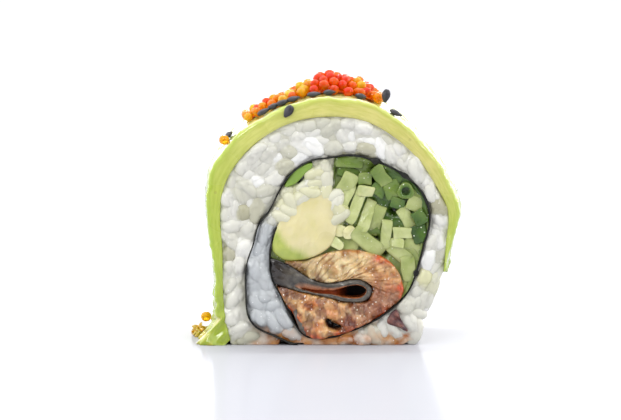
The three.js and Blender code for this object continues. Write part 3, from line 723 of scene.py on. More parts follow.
def packed_height(x, z, grains):
    """A soft maximum of domes, one a grain: each drops from its top with the 2.6th power of the distance."""
    wave = np.stack([x, np.zeros_like(x), z], -1)
    x, z = x + 0.3 * ripple(wave, 2.6, 93), z + 0.3 * ripple(wave, 2.6, 94)
    away = np.stack([x, z], -1)[..., None, :] - grains["middles"]
    c, s = np.cos(grains["turns"]), np.sin(grains["turns"])
    u = np.abs(away[..., 0] * c - away[..., 1] * s) / (grains["long"] / 2)
    v = np.abs(away[..., 0] * s + away[..., 1] * c) / (grains["wide"] / 2)
    domes = grains["proud"] - DOME_DROP * (u**2.6 + v**2.6)
    weights = np.exp(np.maximum(domes, PIT_LEVEL * 2) / JOIN_SOFT)
    total = weights.sum(-1)
    shade = (weights * grains["shade"]).sum(-1) / total
    return JOIN_SOFT * np.log(total + np.exp(PIT_LEVEL / JOIN_SOFT)), shade


def rice_core():
    """The spiral between its radii from cut to cut; at the cuts it follows the grains and fills their
    creases."""
    angles = np.arange(RICE_START, RICE_END + 0.1, 1.0)
    low = rice_inner(angles) - PRESSED_IN
    high = rice_limit(angles) + PRESSED_IN - 0.9 * bare(angles) - 0.6 * low_corner(angles)
    high = np.minimum(high, np.where(angles < TONGUE_START, floor_radius(angles) - 0.02, high))
    rails = [clock(angles, np.maximum(r, 0), 0)[:, [0, 2]] for r in (low, np.maximum(high, low + 0.3))]
    rings, deep, across = ruled(*rails, -FACE, FACE, rim=0.12, corner=2, along_depth=8, along_across=22)
    shade, brown = np.full(across.shape, 0.5), np.zeros(across.shape)
    for face, grains in cuts.items():
        height, blended = packed_height(rings[..., 0], rings[..., 2], grains)
        here = near_cuts(rings[..., 1], 2.4) * (rings[..., 1] * face > 0)
        lumps = 0.07 * ripple(rings, 1.5, 1) + 0.05 * ripple(rings, 0.8, 2)
        rings[..., 1] += face * here * (height - 0.2 + lumps)
        crease = smoothstep(-0.35, -0.8, height) * here
        brown = brown + (crease * (1 - smoothstep(2.0, 7.0, rings[..., 2]))
                         * smoothstep(-17, -12, rings[..., 0]))
        # Painted shade: part of the creases of the sticky rice is darkened.
        painted_crease_shade = crease * smoothstep(0.1, 0.8, ripple(rings, 9.0, 3))
        shade = np.where(here > 0, blended - 0.4 * painted_crease_shade, shade)
    values = rice_values(rings[..., 0], rings[..., 2], angles[:, None], np.clip(shade, 0, 1), 0.35)
    values["stain"] = np.clip(values["stain"] + 0.8 * brown, 0, 1)
    return skin(rings, {k: np.broadcast_to(v, across.shape) for k, v in values.items()})


core = rice_core()
print("core faces", len(core["quads"]))


# %% Grains on the bare side
def side_grains(count, seed):
    """Laid out on arc length and depth at the bare lower right, pushed apart, then wrapped round the roll."""
    rng = np.random.default_rng(seed)
    mean_radius = 22.5
    reach = np.radians(BARE_END - BARE_START + 9) * mean_radius
    low, high = np.array([0.6, -FACE + 2.4]), np.array([reach - 1.0, FACE - 2.4])
    long = GRAIN_LONG * rng.uniform(0.8, 1.1, count)
    half = (long - GRAIN_WIDE * 0.85) / 2
    middles, turns = relaxed(rng.uniform(low, high, (count, 2)), rng.uniform(0, np.pi, count), half,
                             lambda places: np.clip(places, low, high), 2.5)
    angle = BARE_START - 6 + np.degrees(middles[:, 0] / mean_radius)
    wide = GRAIN_WIDE * rng.uniform(0.9, 1.1, count)
    sizes = np.stack([long, wide, wide * 0.9], -1)
    outwards = clock(angle, 1.0, 0.0) - [0, 0, CENTRE_Z]
    along = np.stack([outwards[:, 2], np.zeros(count), -outwards[:, 0]], -1)
    deep_way = np.broadcast_to([0.0, 1.0, 0.0], (count, 3))
    long_way = along * np.cos(turns)[:, None] - deep_way * np.sin(turns)[:, None]
    frames = np.stack([long_way, np.cross(outwards, long_way), outwards], -1) * sizes[:, None, :]
    places = clock(angle, rice_outer(angle) - 1.0 - 0.8 * low_corner(angle) + rng.uniform(-0.4, 0.4, count),
                   middles[:, 1])
    values = rice_values(places[:, 0], places[:, 2], angle, np.clip(rng.normal(0.65, 0.2, count), 0, 1), 0.0)
    made = stamped(GRAIN, frames, places, values)
    made["points"][:, 2] = np.maximum(made["points"][:, 2], 0.02)
    return made


rice_shapes = [core, side_grains(52, seed=31), *(loose_grains(grains, face) for face, grains in cuts.items())]
put("rice_grains", together(rice_shapes), RICE_FINISH, "rice", "rice")

# %% [markdown]
# Nori is a thin sheet of pressed seaweed that softens in the roll. At the cut it shows as a dark ragged
# line, a little thicker where it wrinkled. It could be a curve with a bevel, but it is a layer like the
# others, ruled between two rails close together, so it follows the rice exactly.

# %% Nori
def nori_colour(tree):
    """Nearly black, mottled with olive."""
    skin_tone = placed(tree, mottle, Place=place_of(tree), Scale=500.0, Contrast=1.0, First=paint(14, 16, 13),
                       Second=paint(38, 38, 32))
    return skin_tone["Colour"]


NORI_FINISH = finish("nori", nori_colour, 1500.0, 0.6, 0.3, 0.0002, Coat_Weight=0.1, Specular_IOR_Level=0.3)
# Angle, more thickness and spread of each wrinkle, and the stretch where the sheet is drawn in under the eel
WRINKLES = [(388.7, 1.1, 2.4), (407.3, 0.9, 2.6), (425.0, 0.3, 9.0), (468.7, 1.0, 1.4), (372.0, 0.2, 6.0)]
DRAWN_IN = (522, 530, 548, 556)
SOFTENED = 0.1
angles = np.arange(NORI_START, NORI_END + 0.1, 1.5)
thick = NORI_THICK - SOFTENED + 0.1 * ripple(clock(angles, 20, 0), 5.0, 4)
for at, more, spread in WRINKLES:
    thick = thick + more * np.exp(-(((angles - at) / spread) ** 2))
middle = nori_middle(angles)
outside = np.minimum(middle + thick / 2, floor_radius(angles) - 0.12)
rails = [clock(angles, r, 0)[:, [0, 2]] for r in (middle - thick / 2, outside)]
rings, _, _ = ruled(*rails, -FACE, FACE, rim=0.12, corner=2, along_depth=16, along_across=1)
under_eel = smoothstep(*DRAWN_IN[:2], angles) * (1 - smoothstep(*DRAWN_IN[2:], angles))
edge = 0.3 * ripple(rings, 2.6, 5) - under_eel[:, None]
rings[..., 1] += np.sign(rings[..., 1]) * near_cuts(rings[..., 1], 3.0) * edge
put("nori_roll", skin(rings), NORI_FINISH, "nori", "nori_sheet")

# %% [markdown]
# Thin slices of avocado are laid over the roll like shingles and pressed on. The side that was under the
# peel is green and the inside is yellow, so the colour changes across the slice, and round the roll it goes
# from green at the left through yellow at the top. Those two shares are stored on the points, so the finish
# follows the bend.

# %% The finish of the avocado slices
def slice_colour(tree):
    """Green to yellow round the roll, streaked along it, greener outside, with a pale sheen painted on the
    outer face near the cuts, yellow at the foot."""
    round_it = ramp(tree, value_of(tree, "around"), [
        (0.0, paint(162, 180, 58)), (0.05, paint(172, 190, 70)), (0.25, paint(186, 200, 78)),
        (0.42, paint(212, 212, 118)), (0.58, paint(220, 212, 126)), (0.78, paint(216, 208, 126)),
        (0.9, paint(194, 204, 94)), (1.0, paint(170, 188, 70)),
    ])
    strand = node(tree, "ShaderNodeCombineXYZ",
                  {"X": sum_of(tree, "MULTIPLY", value_of(tree, "around"), 34.0),
                   "Y": sum_of(tree, "MULTIPLY", value_of(tree, "across"), 7.0)})
    strands = node(tree, "ShaderNodeTexNoise",
                   {"Vector": strand.outputs["Vector"], "Scale": 1.0, "Detail": 4.0})
    streaked = mixed(tree, span(tree, strands.outputs["Fac"], 0.4, 0.65, 0.0, 0.55), round_it,
                     mixed(tree, 1.0, round_it, paint(226, 232, 178), "MULTIPLY"))
    drift = placed(tree, mottle, Place=place_of(tree), Scale=160.0, Contrast=0.5, First=paint(255, 255, 255),
                   Second=paint(228, 236, 204))
    flesh = mixed(tree, 1.0, streaked, drift["Colour"], "MULTIPLY")
    edge = span(tree, value_of(tree, "across"), 0.6, 0.95)
    toned = mixed(tree, edge, flesh, mixed(tree, 0.45, flesh, paint(150, 184, 44)))
    # Painted sheen: a pale mottled patch on the slices' outer face near the cuts stands in for its glare.
    sheen_patches = placed(tree, mottle, Place=place_of(tree), Scale=500.0, Contrast=1.0, First=paint(0, 0, 0),
                  Second=paint(255, 255, 255))
    outside = sum_of(tree, "MULTIPLY", span(tree, value_of(tree, "across"), 0.93, 1.0), value_of(tree, "rim"))
    wet_sheen = sum_of(tree, "MULTIPLY", outside, sheen_patches["Mask"])
    with_painted_light = mixed(tree, sum_of(tree, "MULTIPLY", wet_sheen, 0.75), toned, paint(240, 240, 214))
    bruises = placed(tree, specks, Place=place_of(tree), Scale=330.0, Size=0.12)
    spotted = mixed(tree, sum_of(tree, "MULTIPLY", bruises["Mask"], 0.3), with_painted_light, paint(150, 140, 60))
    return mixed(tree, value_of(tree, "tip"), spotted, paint(206, 184, 60))


SLICE_FINISH = finish("avocado slices", slice_colour, 420.0, 0.34, 0.14, 0.00016, Coat_Weight=0.5,
                      Coat_Roughness=0.06, **soft_light(0.2, 1.5, 1.0, 1.0, 0.5))

# %% The three avocado slices
SLICES = 3
SLICE_DEPTH = 2 * FACE / SLICES
LEAN, STEP_UP, SEAM_GAP, SEAM_WAVE = 2.2, 0.45, 0.2, 0.3
WET_RIM = 0.75
FOOT_FLARE, FOOT_FALL = 5.2, 1.9
FOOT_FILL = 6.5     # degrees past the solid's end, where the foot fills the corner on the floor
FOOT_STRETCH, FOOT_STEP, END_STEP = 14, 0.4, 5


def seam_at(seam, angle):
    """The depth of the line where one slice ends and the next starts: even steps and a slow sine wave."""
    return -FACE + seam * SLICE_DEPTH + SEAM_WAVE * np.sin(np.radians(angle * 3 + seam * 140))


def blanket_top(angle, y):
    """The outside of the avocado: its table plus a swell that is a parabola from cut to cut."""
    return radius_at(BLANKET_OUTER, angle) + BARREL * (1 - (y / FACE) ** 2)


def avocado_slice(number):
    """Rings round the roll from the rice to the outside, flared to a torn foot on the floor and wavy all
    over."""
    foot_top = BLANKET_START + FOOT_STRETCH
    angles = np.concatenate([np.arange(BLANKET_START - FOOT_FILL, foot_top, FOOT_STEP),
                             np.arange(foot_top, BLANKET_END - number * END_STEP + 0.1, 1.0)])
    front_cut, back_cut = number == 0, number == SLICES - 1
    front = np.full(len(angles), -FACE) if front_cut else seam_at(number, angles) + SEAM_GAP / 2
    back = np.full(len(angles), FACE) if back_cut else seam_at(number + 1, angles) - SEAM_GAP / 2
    inner = np.minimum(rice_outer(angles) + 0.12, floor_radius(angles))
    width = np.maximum(blanket_top(angles, 0.0) - BARREL - inner, 0.5)
    share = np.minimum(WET_RIM / width, 0.5)
    deep, across = rounded_square(WET_RIM / SLICE_DEPTH, share, 4, 12, 7)
    lean = LEAN * (across - 0.5)
    y = front[:, None] + (back - front)[:, None] * deep
    y = y + lean * ((not front_cut) * (1 - deep) + (not back_cut) * deep)
    rise = 0.0 if front_cut else STEP_UP * (deep - 0.6)
    from_foot = np.maximum(angles - BLANKET_START, 0)
    flare = (1.0 if front_cut else 0.35) * FOOT_FLARE * np.exp(-from_foot / FOOT_FALL)
    outer = np.maximum(blanket_top(angles[:, None], y) + rise, inner[:, None] + 0.6) + flare[:, None]
    foot = np.exp(-from_foot / 7.0)[:, None]
    places = clock(angles[:, None], outer, y)
    wave = 0.16 * ripple(places, 7.0, 40 + number) + 0.05 * ripple(places, 2.2, 43)
    wave = wave + foot * 0.9 * ripple(places, 2.4, 44)
    torn_end = np.exp(-(angles[-1] - angles) / 9.0)[:, None] * front_cut
    wave = wave + (foot * 0.7 + torn_end * 0.3) * ripple(places, 1.2, 46) + 0.07 * ripple(places, 1.1, 47)
    low = inner[:, None]
    radius = low + (outer + wave - low) * across
    radius = np.clip(radius, 0, floor_radius(angles)[:, None] - 0.02)
    rings = clock(angles[:, None], radius, y + 0.25 * foot * ripple(places, 2.4, 45))
    around = np.broadcast_to((from_foot / (BLANKET_END - BLANKET_START))[:, None], across.shape)
    tip = (np.exp(-from_foot / 3.0)[:, None] * smoothstep(0.45, 0.95, across)
           * (0.7 + 0.5 * ripple(rings, 2.0, 48)))
    # Where the painted sheen on the outer face may show: mostly near the cuts.
    rim = 0.12 + 0.88 * near_cuts(y, 5.0)
    return skin(rings, {"around": around, "across": across, "tip": np.clip(tip, 0, 1), "rim": rim})


for number, node_name in enumerate(["avocado_slice_front", "avocado_slice_middle", "avocado_slice_back"]):
    put(node_name + "_flesh", avocado_slice(number), SLICE_FINISH, "avocado_green", node_name)

# %% [markdown]
# The wedge of avocado in the filling is cream with a green side where the peel was, and the sliver beside
# it is all green. Both are slugs. How green a point is, is worked out from where it lies, because that side
# faces the rice.

# %% Avocado wedge and sliver
WEDGE = [
    (-9.2, 24.4), (-6.8, 27.2), (-4.9, 28.4), (-3.0, 29.2), (-0.8, 28.7), (0.8, 26.8), (1.2, 24.5),
    (0.9, 21.9), (0.2, 19.8), (-1.3, 18.3), (-3.6, 17.2), (-5.7, 16.7), (-8.0, 16.6), (-9.7, 17.4),
    (-10.7, 18.8), (-10.9, 20.6), (-10.4, 22.4),
]
SLIVER = [(-8.6, 30.4), (-7.6, 32.6), (-6.0, 34.2), (-3.6, 35.0), (-3.4, 34.2), (-5.0, 32.6), (-6.6, 31.0)]


def wedge_colour(tree):
    """Cream, turning green by the point's own share, and darker where that share goes past 1."""
    cream = placed(tree, mottle, Place=place_of(tree), Scale=230.0, Contrast=0.7, First=paint(228, 218, 172),
                   Second=paint(218, 208, 144))
    green = placed(tree, mottle, Place=place_of(tree), Scale=300.0, Contrast=0.8, First=paint(190, 200, 98),
                   Second=paint(160, 176, 84))
    uneven = placed(tree, mottle, Place=place_of(tree), Scale=260.0, Contrast=0.3, First=paint(0, 0, 0),
                    Second=paint(255, 255, 255))
    amount = span(tree, sum_of(tree, "ADD", value_of(tree, "green"), uneven["Mask"]), 0.25, 0.95)
    rind = span(tree, value_of(tree, "green"), 1.1, 1.6)
    return mixed(tree, rind, mixed(tree, amount, cream["Colour"], green["Colour"]), paint(132, 164, 66))


WEDGE_FINISH = finish("avocado wedge", wedge_colour, 500.0, 0.42, 0.18, 0.0001, Coat_Weight=0.25,
                      **soft_light(0.4, 2.0, 1.0, 0.95, 0.5))
WEDGE_GROWN = 1.06
WEDGE_X, WEDGE_Z, GREEN_REACH = -4.6, 22.6, 5.2
GREEN_WAY_X, GREEN_WAY_Z = -0.72, -0.9
wedge_line = through(WEDGE, 72)
wedge_line = wedge_line.mean(0) + (wedge_line - wedge_line.mean(0)) * WEDGE_GROWN
rings, scale = slug(wedge_line, -FACE - 0.2, FACE + 0.2, rim=0.7, dome=0.45, face_rings=16)
rings = held_inside(rings)
rings[..., 1] += np.sign(rings[..., 1]) * near_cuts(rings[..., 1]) * (
    0.16 * ripple(rings, 3.4, 50) + 0.05 * ripple(rings, 1.2, 51))
x, z = rings[..., 0], rings[..., 2]
towards_rice = ((x - WEDGE_X) * GREEN_WAY_X + (z - WEDGE_Z) * GREEN_WAY_Z) / GREEN_REACH
wedge = skin(rings, {"green": smoothstep(0.55, 1.25, towards_rice.clip(0, 2)) * smoothstep(0.35, 0.9, scale)})
put("avocado_wedge_flesh", wedge, WEDGE_FINISH, "avocado_cream", "avocado_wedge")


WEDGE_TOP = [(-9.0, 24.6), (-7.2, 26.8), (-5.0, 28.6), (-2.6, 29.6), (-0.2, 28.9), (1.2, 26.8), (1.6, 24.6)]
GRAINS_ON_WEDGE = 12


def grains_on_wedge(count, seed):
    """Pale grains from the tongue that lie over the upper edge of the wedge at the front cut."""
    rng = np.random.default_rng(seed)
    edge = through(WEDGE_TOP, count, False) + rng.normal(0, 0.35, (count, 2))
    long = GRAIN_LONG * rng.uniform(0.8, 1.05, count)
    wide = GRAIN_WIDE * rng.uniform(0.85, 1.05, count)
    sizes = np.stack([long, 0.8 * wide, wide], -1)
    frames = grain_frames(rng.uniform(0, np.pi, count), rng.normal(0, 0.12, count),
                          rng.uniform(0, 1, count), sizes)
    y = -FACE - rng.uniform(0, 0.2, count) + 0.27 * wide
    values = {"shade": rng.uniform(0.2, 0.7, count), "cool": np.zeros(count),
              "lime": rng.uniform(0.2, 0.8, count),
              "stain": np.zeros(count)}
    made = stamped(GRAIN, frames, np.stack([edge[:, 0], y, edge[:, 1]], -1), values)
    made["points"][:, 1] = np.maximum(made["points"][:, 1], -FACE - 0.62)
    return made


put("grains_on_wedge", grains_on_wedge(GRAINS_ON_WEDGE, seed=95), RICE_FINISH, "rice")
rings, _ = slug(through(SLIVER, 40), -FACE + 0.1, FACE - 0.1, rim=0.4, dome=0.1)
put("avocado_sliver_flesh", skin(rings, {"green": 1.6}), WEDGE_FINISH, "avocado_green", "avocado_sliver")

# %% [markdown]
# The cucumber was cut into sticks, laid along the roll and cut with it, so their ends show: pale where a
# stick comes from the middle of the fruit and dark where it has peel. The ends aren't level, and the gaps
# between them are dark, with painted shade in the deepest holes and down the sticks' sides. An array of
# boxes would look stiff, so every stick has its own size, turn, tilt and depth.

# %% The finish of the cucumber
def cucumber_colour(tree):
    """From pale flesh to dark peel by the stick's tint, darker and greener at its rim and down its side as
    painted shade, with painted glints, and holes painted near black as shade.
    """
    body = ramp(tree, value_of(tree, "tint"), [
        (0.0, paint(232, 226, 174)), (0.2, paint(208, 214, 156)), (0.45, paint(178, 188, 118)),
        (0.7, paint(118, 142, 62)), (0.88, paint(78, 112, 34)), (1.0, paint(52, 84, 20)),
    ])
    veins = placed(tree, mottle, Place=place_of(tree), Scale=520.0, Contrast=0.6, First=paint(255, 255, 255),
                   Second=paint(222, 228, 196))
    flesh = mixed(tree, 1.0, body, veins["Colour"], "MULTIPLY")
    # Painted shade: the end's rim and the stick's side darken towards this colour.
    deep = mixed(tree, 1.0, flesh, paint(150, 156, 84), "MULTIPLY")
    side = span(tree, value_of(tree, "side"), 0.2, 1.0)
    toned = mixed(tree, side, flesh, deep)
    # White dots painted into the colour as glints, mostly on the darker sticks.
    glint_dots = placed(tree, specks, Place=place_of(tree), Scale=1500.0, Size=0.2)
    painted_glint_share = sum_of(tree, "MULTIPLY", glint_dots["Mask"], span(tree, value_of(tree, "tint"), 0.4, 0.7, 0.25, 0.75))
    glinted_cucumber = mixed(tree, painted_glint_share, toned, paint(240, 244, 222))
    # Holes in the bed are painted near black as shade.
    return mixed(tree, value_of(tree, "hole"), glinted_cucumber, paint(16, 24, 6))


CUCUMBER_FINISH = finish("cucumber", cucumber_colour, 800.0, 0.36, 0.12, 0.00022, Coat_Weight=0.3,
                         Coat_Roughness=0.08, **soft_light(0.25, 0.4, 1.0, 1.0, 0.6))

# %% The cucumber sticks
# Middle x and z, width, height and turn of each end in millimetres and degrees, its depth behind the cut
# and tint
STICKS = [
    (3.5, 35.1, 6.0, 2.2, 4, 0.2, 0.7), (3.1, 33.1, 5.8, 2.6, 18, 0.5, 0.8),
    (6.7, 31.9, 2.9, 2.5, 4, 0.3, 0.62), (9.7, 32.4, 4.3, 2.8, 55, 0.0, 0.62),
    (12.0, 33.0, 4.6, 2.8, 40, 0.5, 0.88), (9.4, 29.9, 3.2, 2.9, 40, 0.4, 0.84),
    (11.9, 29.9, 3.9, 3.4, 70, 0.1, 0.72), (16.7, 29.4, 2.8, 3.0, 60, 0.5, 0.6),
    (16.4, 27.0, 3.7, 3.2, 25, 0.2, 0.42), (12.9, 27.2, 2.9, 2.2, 12, 0.3, 0.84),
    (14.7, 24.2, 5.2, 2.5, 60, 0.3, 0.4), (17.0, 24.5, 3.0, 2.8, 60, 0.1, 0.86),
    (17.1, 21.4, 3.6, 3.4, 70, 0.4, 0.95), (3.3, 30.9, 4.6, 3.4, 120, 0.5, 0.34),
    (2.9, 27.9, 6.8, 2.2, 116, 0.2, 0.2), (5.0, 27.0, 7.8, 2.3, 112, 0.0, 0.3),
    (6.7, 29.6, 3.3, 2.3, 8, -0.1, 0.2), (7.0, 24.9, 6.8, 2.4, 108, 0.1, 0.34),
    (8.9, 23.9, 6.3, 2.4, 108, 0.45, 0.42), (10.7, 21.2, 6.0, 2.3, 94, 0.1, 0.32),
    (13.8, 21.6, 3.7, 2.4, 3, -0.1, 0.18), (7.2, 19.8, 7.4, 3.2, 40, 0.2, 0.38),
    (3.2, 20.0, 5.6, 4.0, 30, 0.6, 0.44), (1.6, 24.2, 4.8, 2.8, 110, 0.5, 0.2),
    (13.0, 17.9, 5.6, 3.0, 40, 0.2, 0.4), (16.1, 18.6, 5.2, 3.0, 35, 0.4, 0.46),
    (12.9, 19.7, 2.6, 2.0, 10, 0.3, 0.3), (15.0, 14.8, 5.2, 3.0, 80, 0.6, 0.48),
    (14.7, 11.2, 5.4, 2.4, 100, 0.6, 0.42), (15.6, 17.0, 4.2, 3.0, 60, 0.7, 0.5),
]
# Rounder pale pieces between the wedge and the sticks, in the same columns
SOFT_ENDS = [
    (1.6, 22.2, 3.0, 2.6, 20, 0.1, 0.06), (3.7, 21.7, 2.6, 2.9, 70, 0.0, 0.05),
    (2.4, 25.8, 2.4, 3.0, 10, 0.3, 0.08), (1.0, 28.6, 3.2, 2.4, 60, 0.2, 0.1),
    (1.2, 19.7, 3.0, 2.2, 35, 0.2, 0.16),
]
BUNDLE = [
    (-4.0, 31.0), (0.6, 34.8), (5.0, 36.4), (11.0, 35.0), (16.6, 30.0), (18.4, 21.0), (16.0, 9.0),
    (13.0, 9.0), (9.0, 14.0), (2.0, 16.0), (-6.0, 15.4), (-12.6, 15.0), (-13.0, 20.0), (-9.0, 25.6),
]
BUNDLE_SUNK, BUNDLE_GROWN = 1.2, 1.08
HOLES = [
    (4.75, 31.5, 0.8), (8.0, 32.0, 1.0), (8.6, 33.8, 0.8), (12.2, 25.8, 0.9), (8.9, 20.5, 0.7),
    (10.5, 17.8, 0.7), (7.6, 27.6, 0.6), (15.0, 25.9, 0.5),
]
HOLE_DEEP = 3.0


STICK_POINTS = 28
SQUARE, SOFT = 8.0, 2.6


def boxed(width, height, turn, squareness):
    """An outline between an oval and a box: x and z are cosine and sine to the power 2 over the
    squareness."""
    t = np.arange(STICK_POINTS) / STICK_POINTS * 2 * np.pi
    c, s = np.cos(t), np.sin(t)
    x = width / 2 * np.sign(c) * np.abs(c) ** (2 / squareness)
    z = height / 2 * np.sign(s) * np.abs(s) ** (2 / squareness)
    a = np.radians(turn)
    return np.stack([x * np.cos(a) + z * np.sin(a), z * np.cos(a) - x * np.sin(a)], -1)


def stick(row, number, squareness):
    """One stick from cut to cut: a slug with a wavy outline, whose ends lean their own way."""
    x, z, width, height, turn, sunk, tint = row
    rng = np.random.default_rng(100 + number)
    outline = boxed(width * 0.97, height * 0.94, turn, squareness) + [x, z]
    flat = np.stack([outline[:, 0], np.zeros(len(outline)), outline[:, 1]], -1)
    outline = outline + 0.12 * np.stack([ripple(flat, 2.2, 2 * number),
                                         ripple(flat, 2.2, 2 * number + 1)], -1)
    sunk = sunk + rng.uniform(-0.1, 0.5)
    rings, scale = slug(outline, -FACE + sunk, FACE - rng.uniform(-0.1, 0.6), rim=0.2, dome=0.05,
                        face_rings=4)
    lean = np.clip(rng.normal(0, 0.13, 2), -0.22, 0.22)
    ends = near_cuts(rings[..., 1], 4.0)
    rings[..., 1] += ends * (lean[0] * (rings[..., 0] - x) + lean[1] * (rings[..., 2] - z))
    rings[..., 1] += ends * 0.07 * ripple(rings, 1.4, 70)
    # How far the painted shade reaches: the rim of the end and the side away from the cut.
    side = smoothstep(0.86, 1.0, scale) * 0.45 + 0.55 * (1 - near_cuts(rings[..., 1], 1.6))
    made_tint = np.clip(tint + 0.06 * ripple(rings, 2.5, 71) + rng.normal(0, 0.02), 0, 1)
    return skin(held_inside(rings), {"tint": made_tint, "side": side})


CURL_MIDDLE, CURL_HOLLOW, CURL_OUTER, CURL_STEPS = (14.4, 29.6), 0.75, 1.6, 28


def curled_peel():
    """One end is a curl of peel: a ring of dark flesh round a hollow, its radius waved by a cosine."""
    turn = np.linspace(0, 2 * np.pi, CURL_STEPS + 1)[:-1]
    way = np.stack([np.sin(turn), np.cos(turn)], -1)
    outer = (CURL_OUTER + 0.14 * np.cos(3 * turn))[:, None] * way
    rings, _, across = ruled(CURL_MIDDLE + CURL_HOLLOW * way, CURL_MIDDLE + outer,
                             np.full(CURL_STEPS, -FACE - 0.05),
                             np.full(CURL_STEPS, FACE - 0.2), rim=0.3, along_across=2)
    return skin(held_inside(rings), {"tint": 0.66 + 0.26 * (1 - across), "side": 0.3 * (1 - across)},
                closed=True)


def stick_bed():
    """What lies behind the ends: a slug over the whole bundle, raised to meet the nori and pushed in to
    holes that are painted dark as shade."""
    line = through(BUNDLE, 90)
    line = line.mean(0) + (line - line.mean(0)) * BUNDLE_GROWN
    rings, scale = slug(line, -FACE + BUNDLE_SUNK, FACE - BUNDLE_SUNK, rim=0.3, dome=0.0, face_rings=26)
    rings = held_inside(rings, 0.03)
    hole = np.zeros(scale.shape)
    for x, z, reach in HOLES:
        hole = np.maximum(hole, near(rings, x, z, reach))
    x, z = rings[..., 0], rings[..., 2]
    to_nori = filling_edge(x, z) - np.hypot(x, z - CENTRE_Z)
    raised = (BUNDLE_SUNK - 0.2) * (1 - smoothstep(0.2, 1.3, to_nori)) * smoothstep(-4, 4, x)
    cut = near_cuts(rings[..., 1], 3.0)
    rings[..., 1] += (np.sign(rings[..., 1])
                      * (raised + 0.25 * ripple(rings, 2.0, 72) - HOLE_DEEP * hole) * cut)
    greens = np.clip(near(rings, 13.0, 28.5, 6.0) * 1.6, 0, 1)
    return skin(rings, {"tint": 0.62 + 0.3 * greens, "side": 0.35, "hole": smoothstep(0.15, 0.6, hole * cut)})


sticks = [stick(row, number, SQUARE) for number, row in enumerate(STICKS)]
soft_ends = [stick(row, 60 + number, SOFT) for number, row in enumerate(SOFT_ENDS)]
put("cucumber_ends", together([stick_bed(), curled_peel(), *sticks, *soft_ends]), CUCUMBER_FINISH, "cucumber",
    "cucumber_sticks")

# %% [markdown]
# A grilled fillet of eel was folded round its own skin. The flesh is one layer that goes over the skin,
# round the fold and back under it, so it is ruled between the skin's line and its own outline. Cooked flesh
# parts into flakes that cross the fillet: they are raised on the cut, and the low places are darkened with
# glaze and painted shade.

# %% The finish of the eel
def eel_colour(tree):
    """Round the fold from tan through pink to brown, orange where the grill browned it, with dark glaze and
    painted shade in low places, painted glints, and the pit painted near black as shade."""
    body = ramp(tree, value_of(tree, "around"), [
        (0.0, paint(140, 124, 94)), (0.1, paint(200, 180, 126)), (0.26, paint(232, 208, 148)),
        (0.4, paint(220, 176, 118)), (0.5, paint(174, 124, 88)), (0.6, paint(172, 122, 84)),
        (0.74, paint(236, 194, 134)), (0.9, paint(226, 184, 122)), (1.0, paint(140, 112, 80)),
    ])
    fibres = node(tree, "ShaderNodeCombineXYZ", {"X": value_of(tree, "along"), "Y": value_of(tree, "spread")})
    threads = node(tree, "ShaderNodeTexNoise",
                   {"Vector": fibres.outputs["Vector"], "Scale": 1.0, "Detail": 5.0})
    streaks = span(tree, threads.outputs["Fac"], 0.42, 0.66, 0.0, 0.3)
    streaked = mixed(tree, streaks, body, mixed(tree, 1.0, body, paint(222, 186, 152), "MULTIPLY"))
    crumbly = placed(tree, mottle, Place=place_of(tree), Scale=430.0, Contrast=1.0,
                     First=paint(255, 250, 244),
                     Second=paint(214, 170, 128))
    crumbs = mixed(tree, 1.0, streaked, crumbly["Colour"], "MULTIPLY")
    creamy = placed(tree, mottle, Place=place_of(tree), Scale=300.0, Contrast=1.0, First=paint(0, 0, 0),
                    Second=paint(255, 255, 255))
    cream = sum_of(tree, "MULTIPLY", value_of(tree, "cream"), span(tree, creamy["Mask"], 0.3, 0.7, 0.1, 0.9))
    flesh = mixed(tree, cream, crumbs, paint(244, 222, 168))
    patches = placed(tree, mottle, Place=place_of(tree), Scale=420.0, Contrast=1.0, First=paint(0, 0, 0),
                     Second=paint(255, 255, 255))
    browned = sum_of(tree, "MULTIPLY", value_of(tree, "browned"),
                     span(tree, patches["Mask"], 0.2, 0.8, 0.1, 1.0))
    grilled = mixed(tree, browned, flesh, paint(212, 80, 22))
    # Dark glaze in the low places: partly real glaze, partly painted shade in creases, between flakes, in the
    # pit and away from the cuts.
    with_painted_light = mixed(tree, sum_of(tree, "MULTIPLY", value_of(tree, "deep"), 0.95), grilled, paint(98, 40, 20))
    # Pale dots painted into the colour as glints.
    eel_glint_dots = placed(tree, specks, Place=place_of(tree), Scale=1700.0, Size=0.27)
    glints = sum_of(tree, "MULTIPLY", eel_glint_dots["Mask"], span(tree, patches["Mask"], 0.2, 0.7, 0.25, 0.9))
    glinted_eel = mixed(tree, glints, with_painted_light, paint(255, 244, 226))
    # The pit is painted near black as shade.
    return mixed(tree, span(tree, value_of(tree, "hole"), 0.2, 0.9), glinted_eel, paint(30, 12, 6))


EEL_FINISH = finish("eel flesh", eel_colour, 800.0, 0.34, 0.1, 0.0002, Coat_Weight=0.9, Coat_Roughness=0.05,
                    **soft_light(0.2, 1.0, 1.0, 0.5, 0.25))

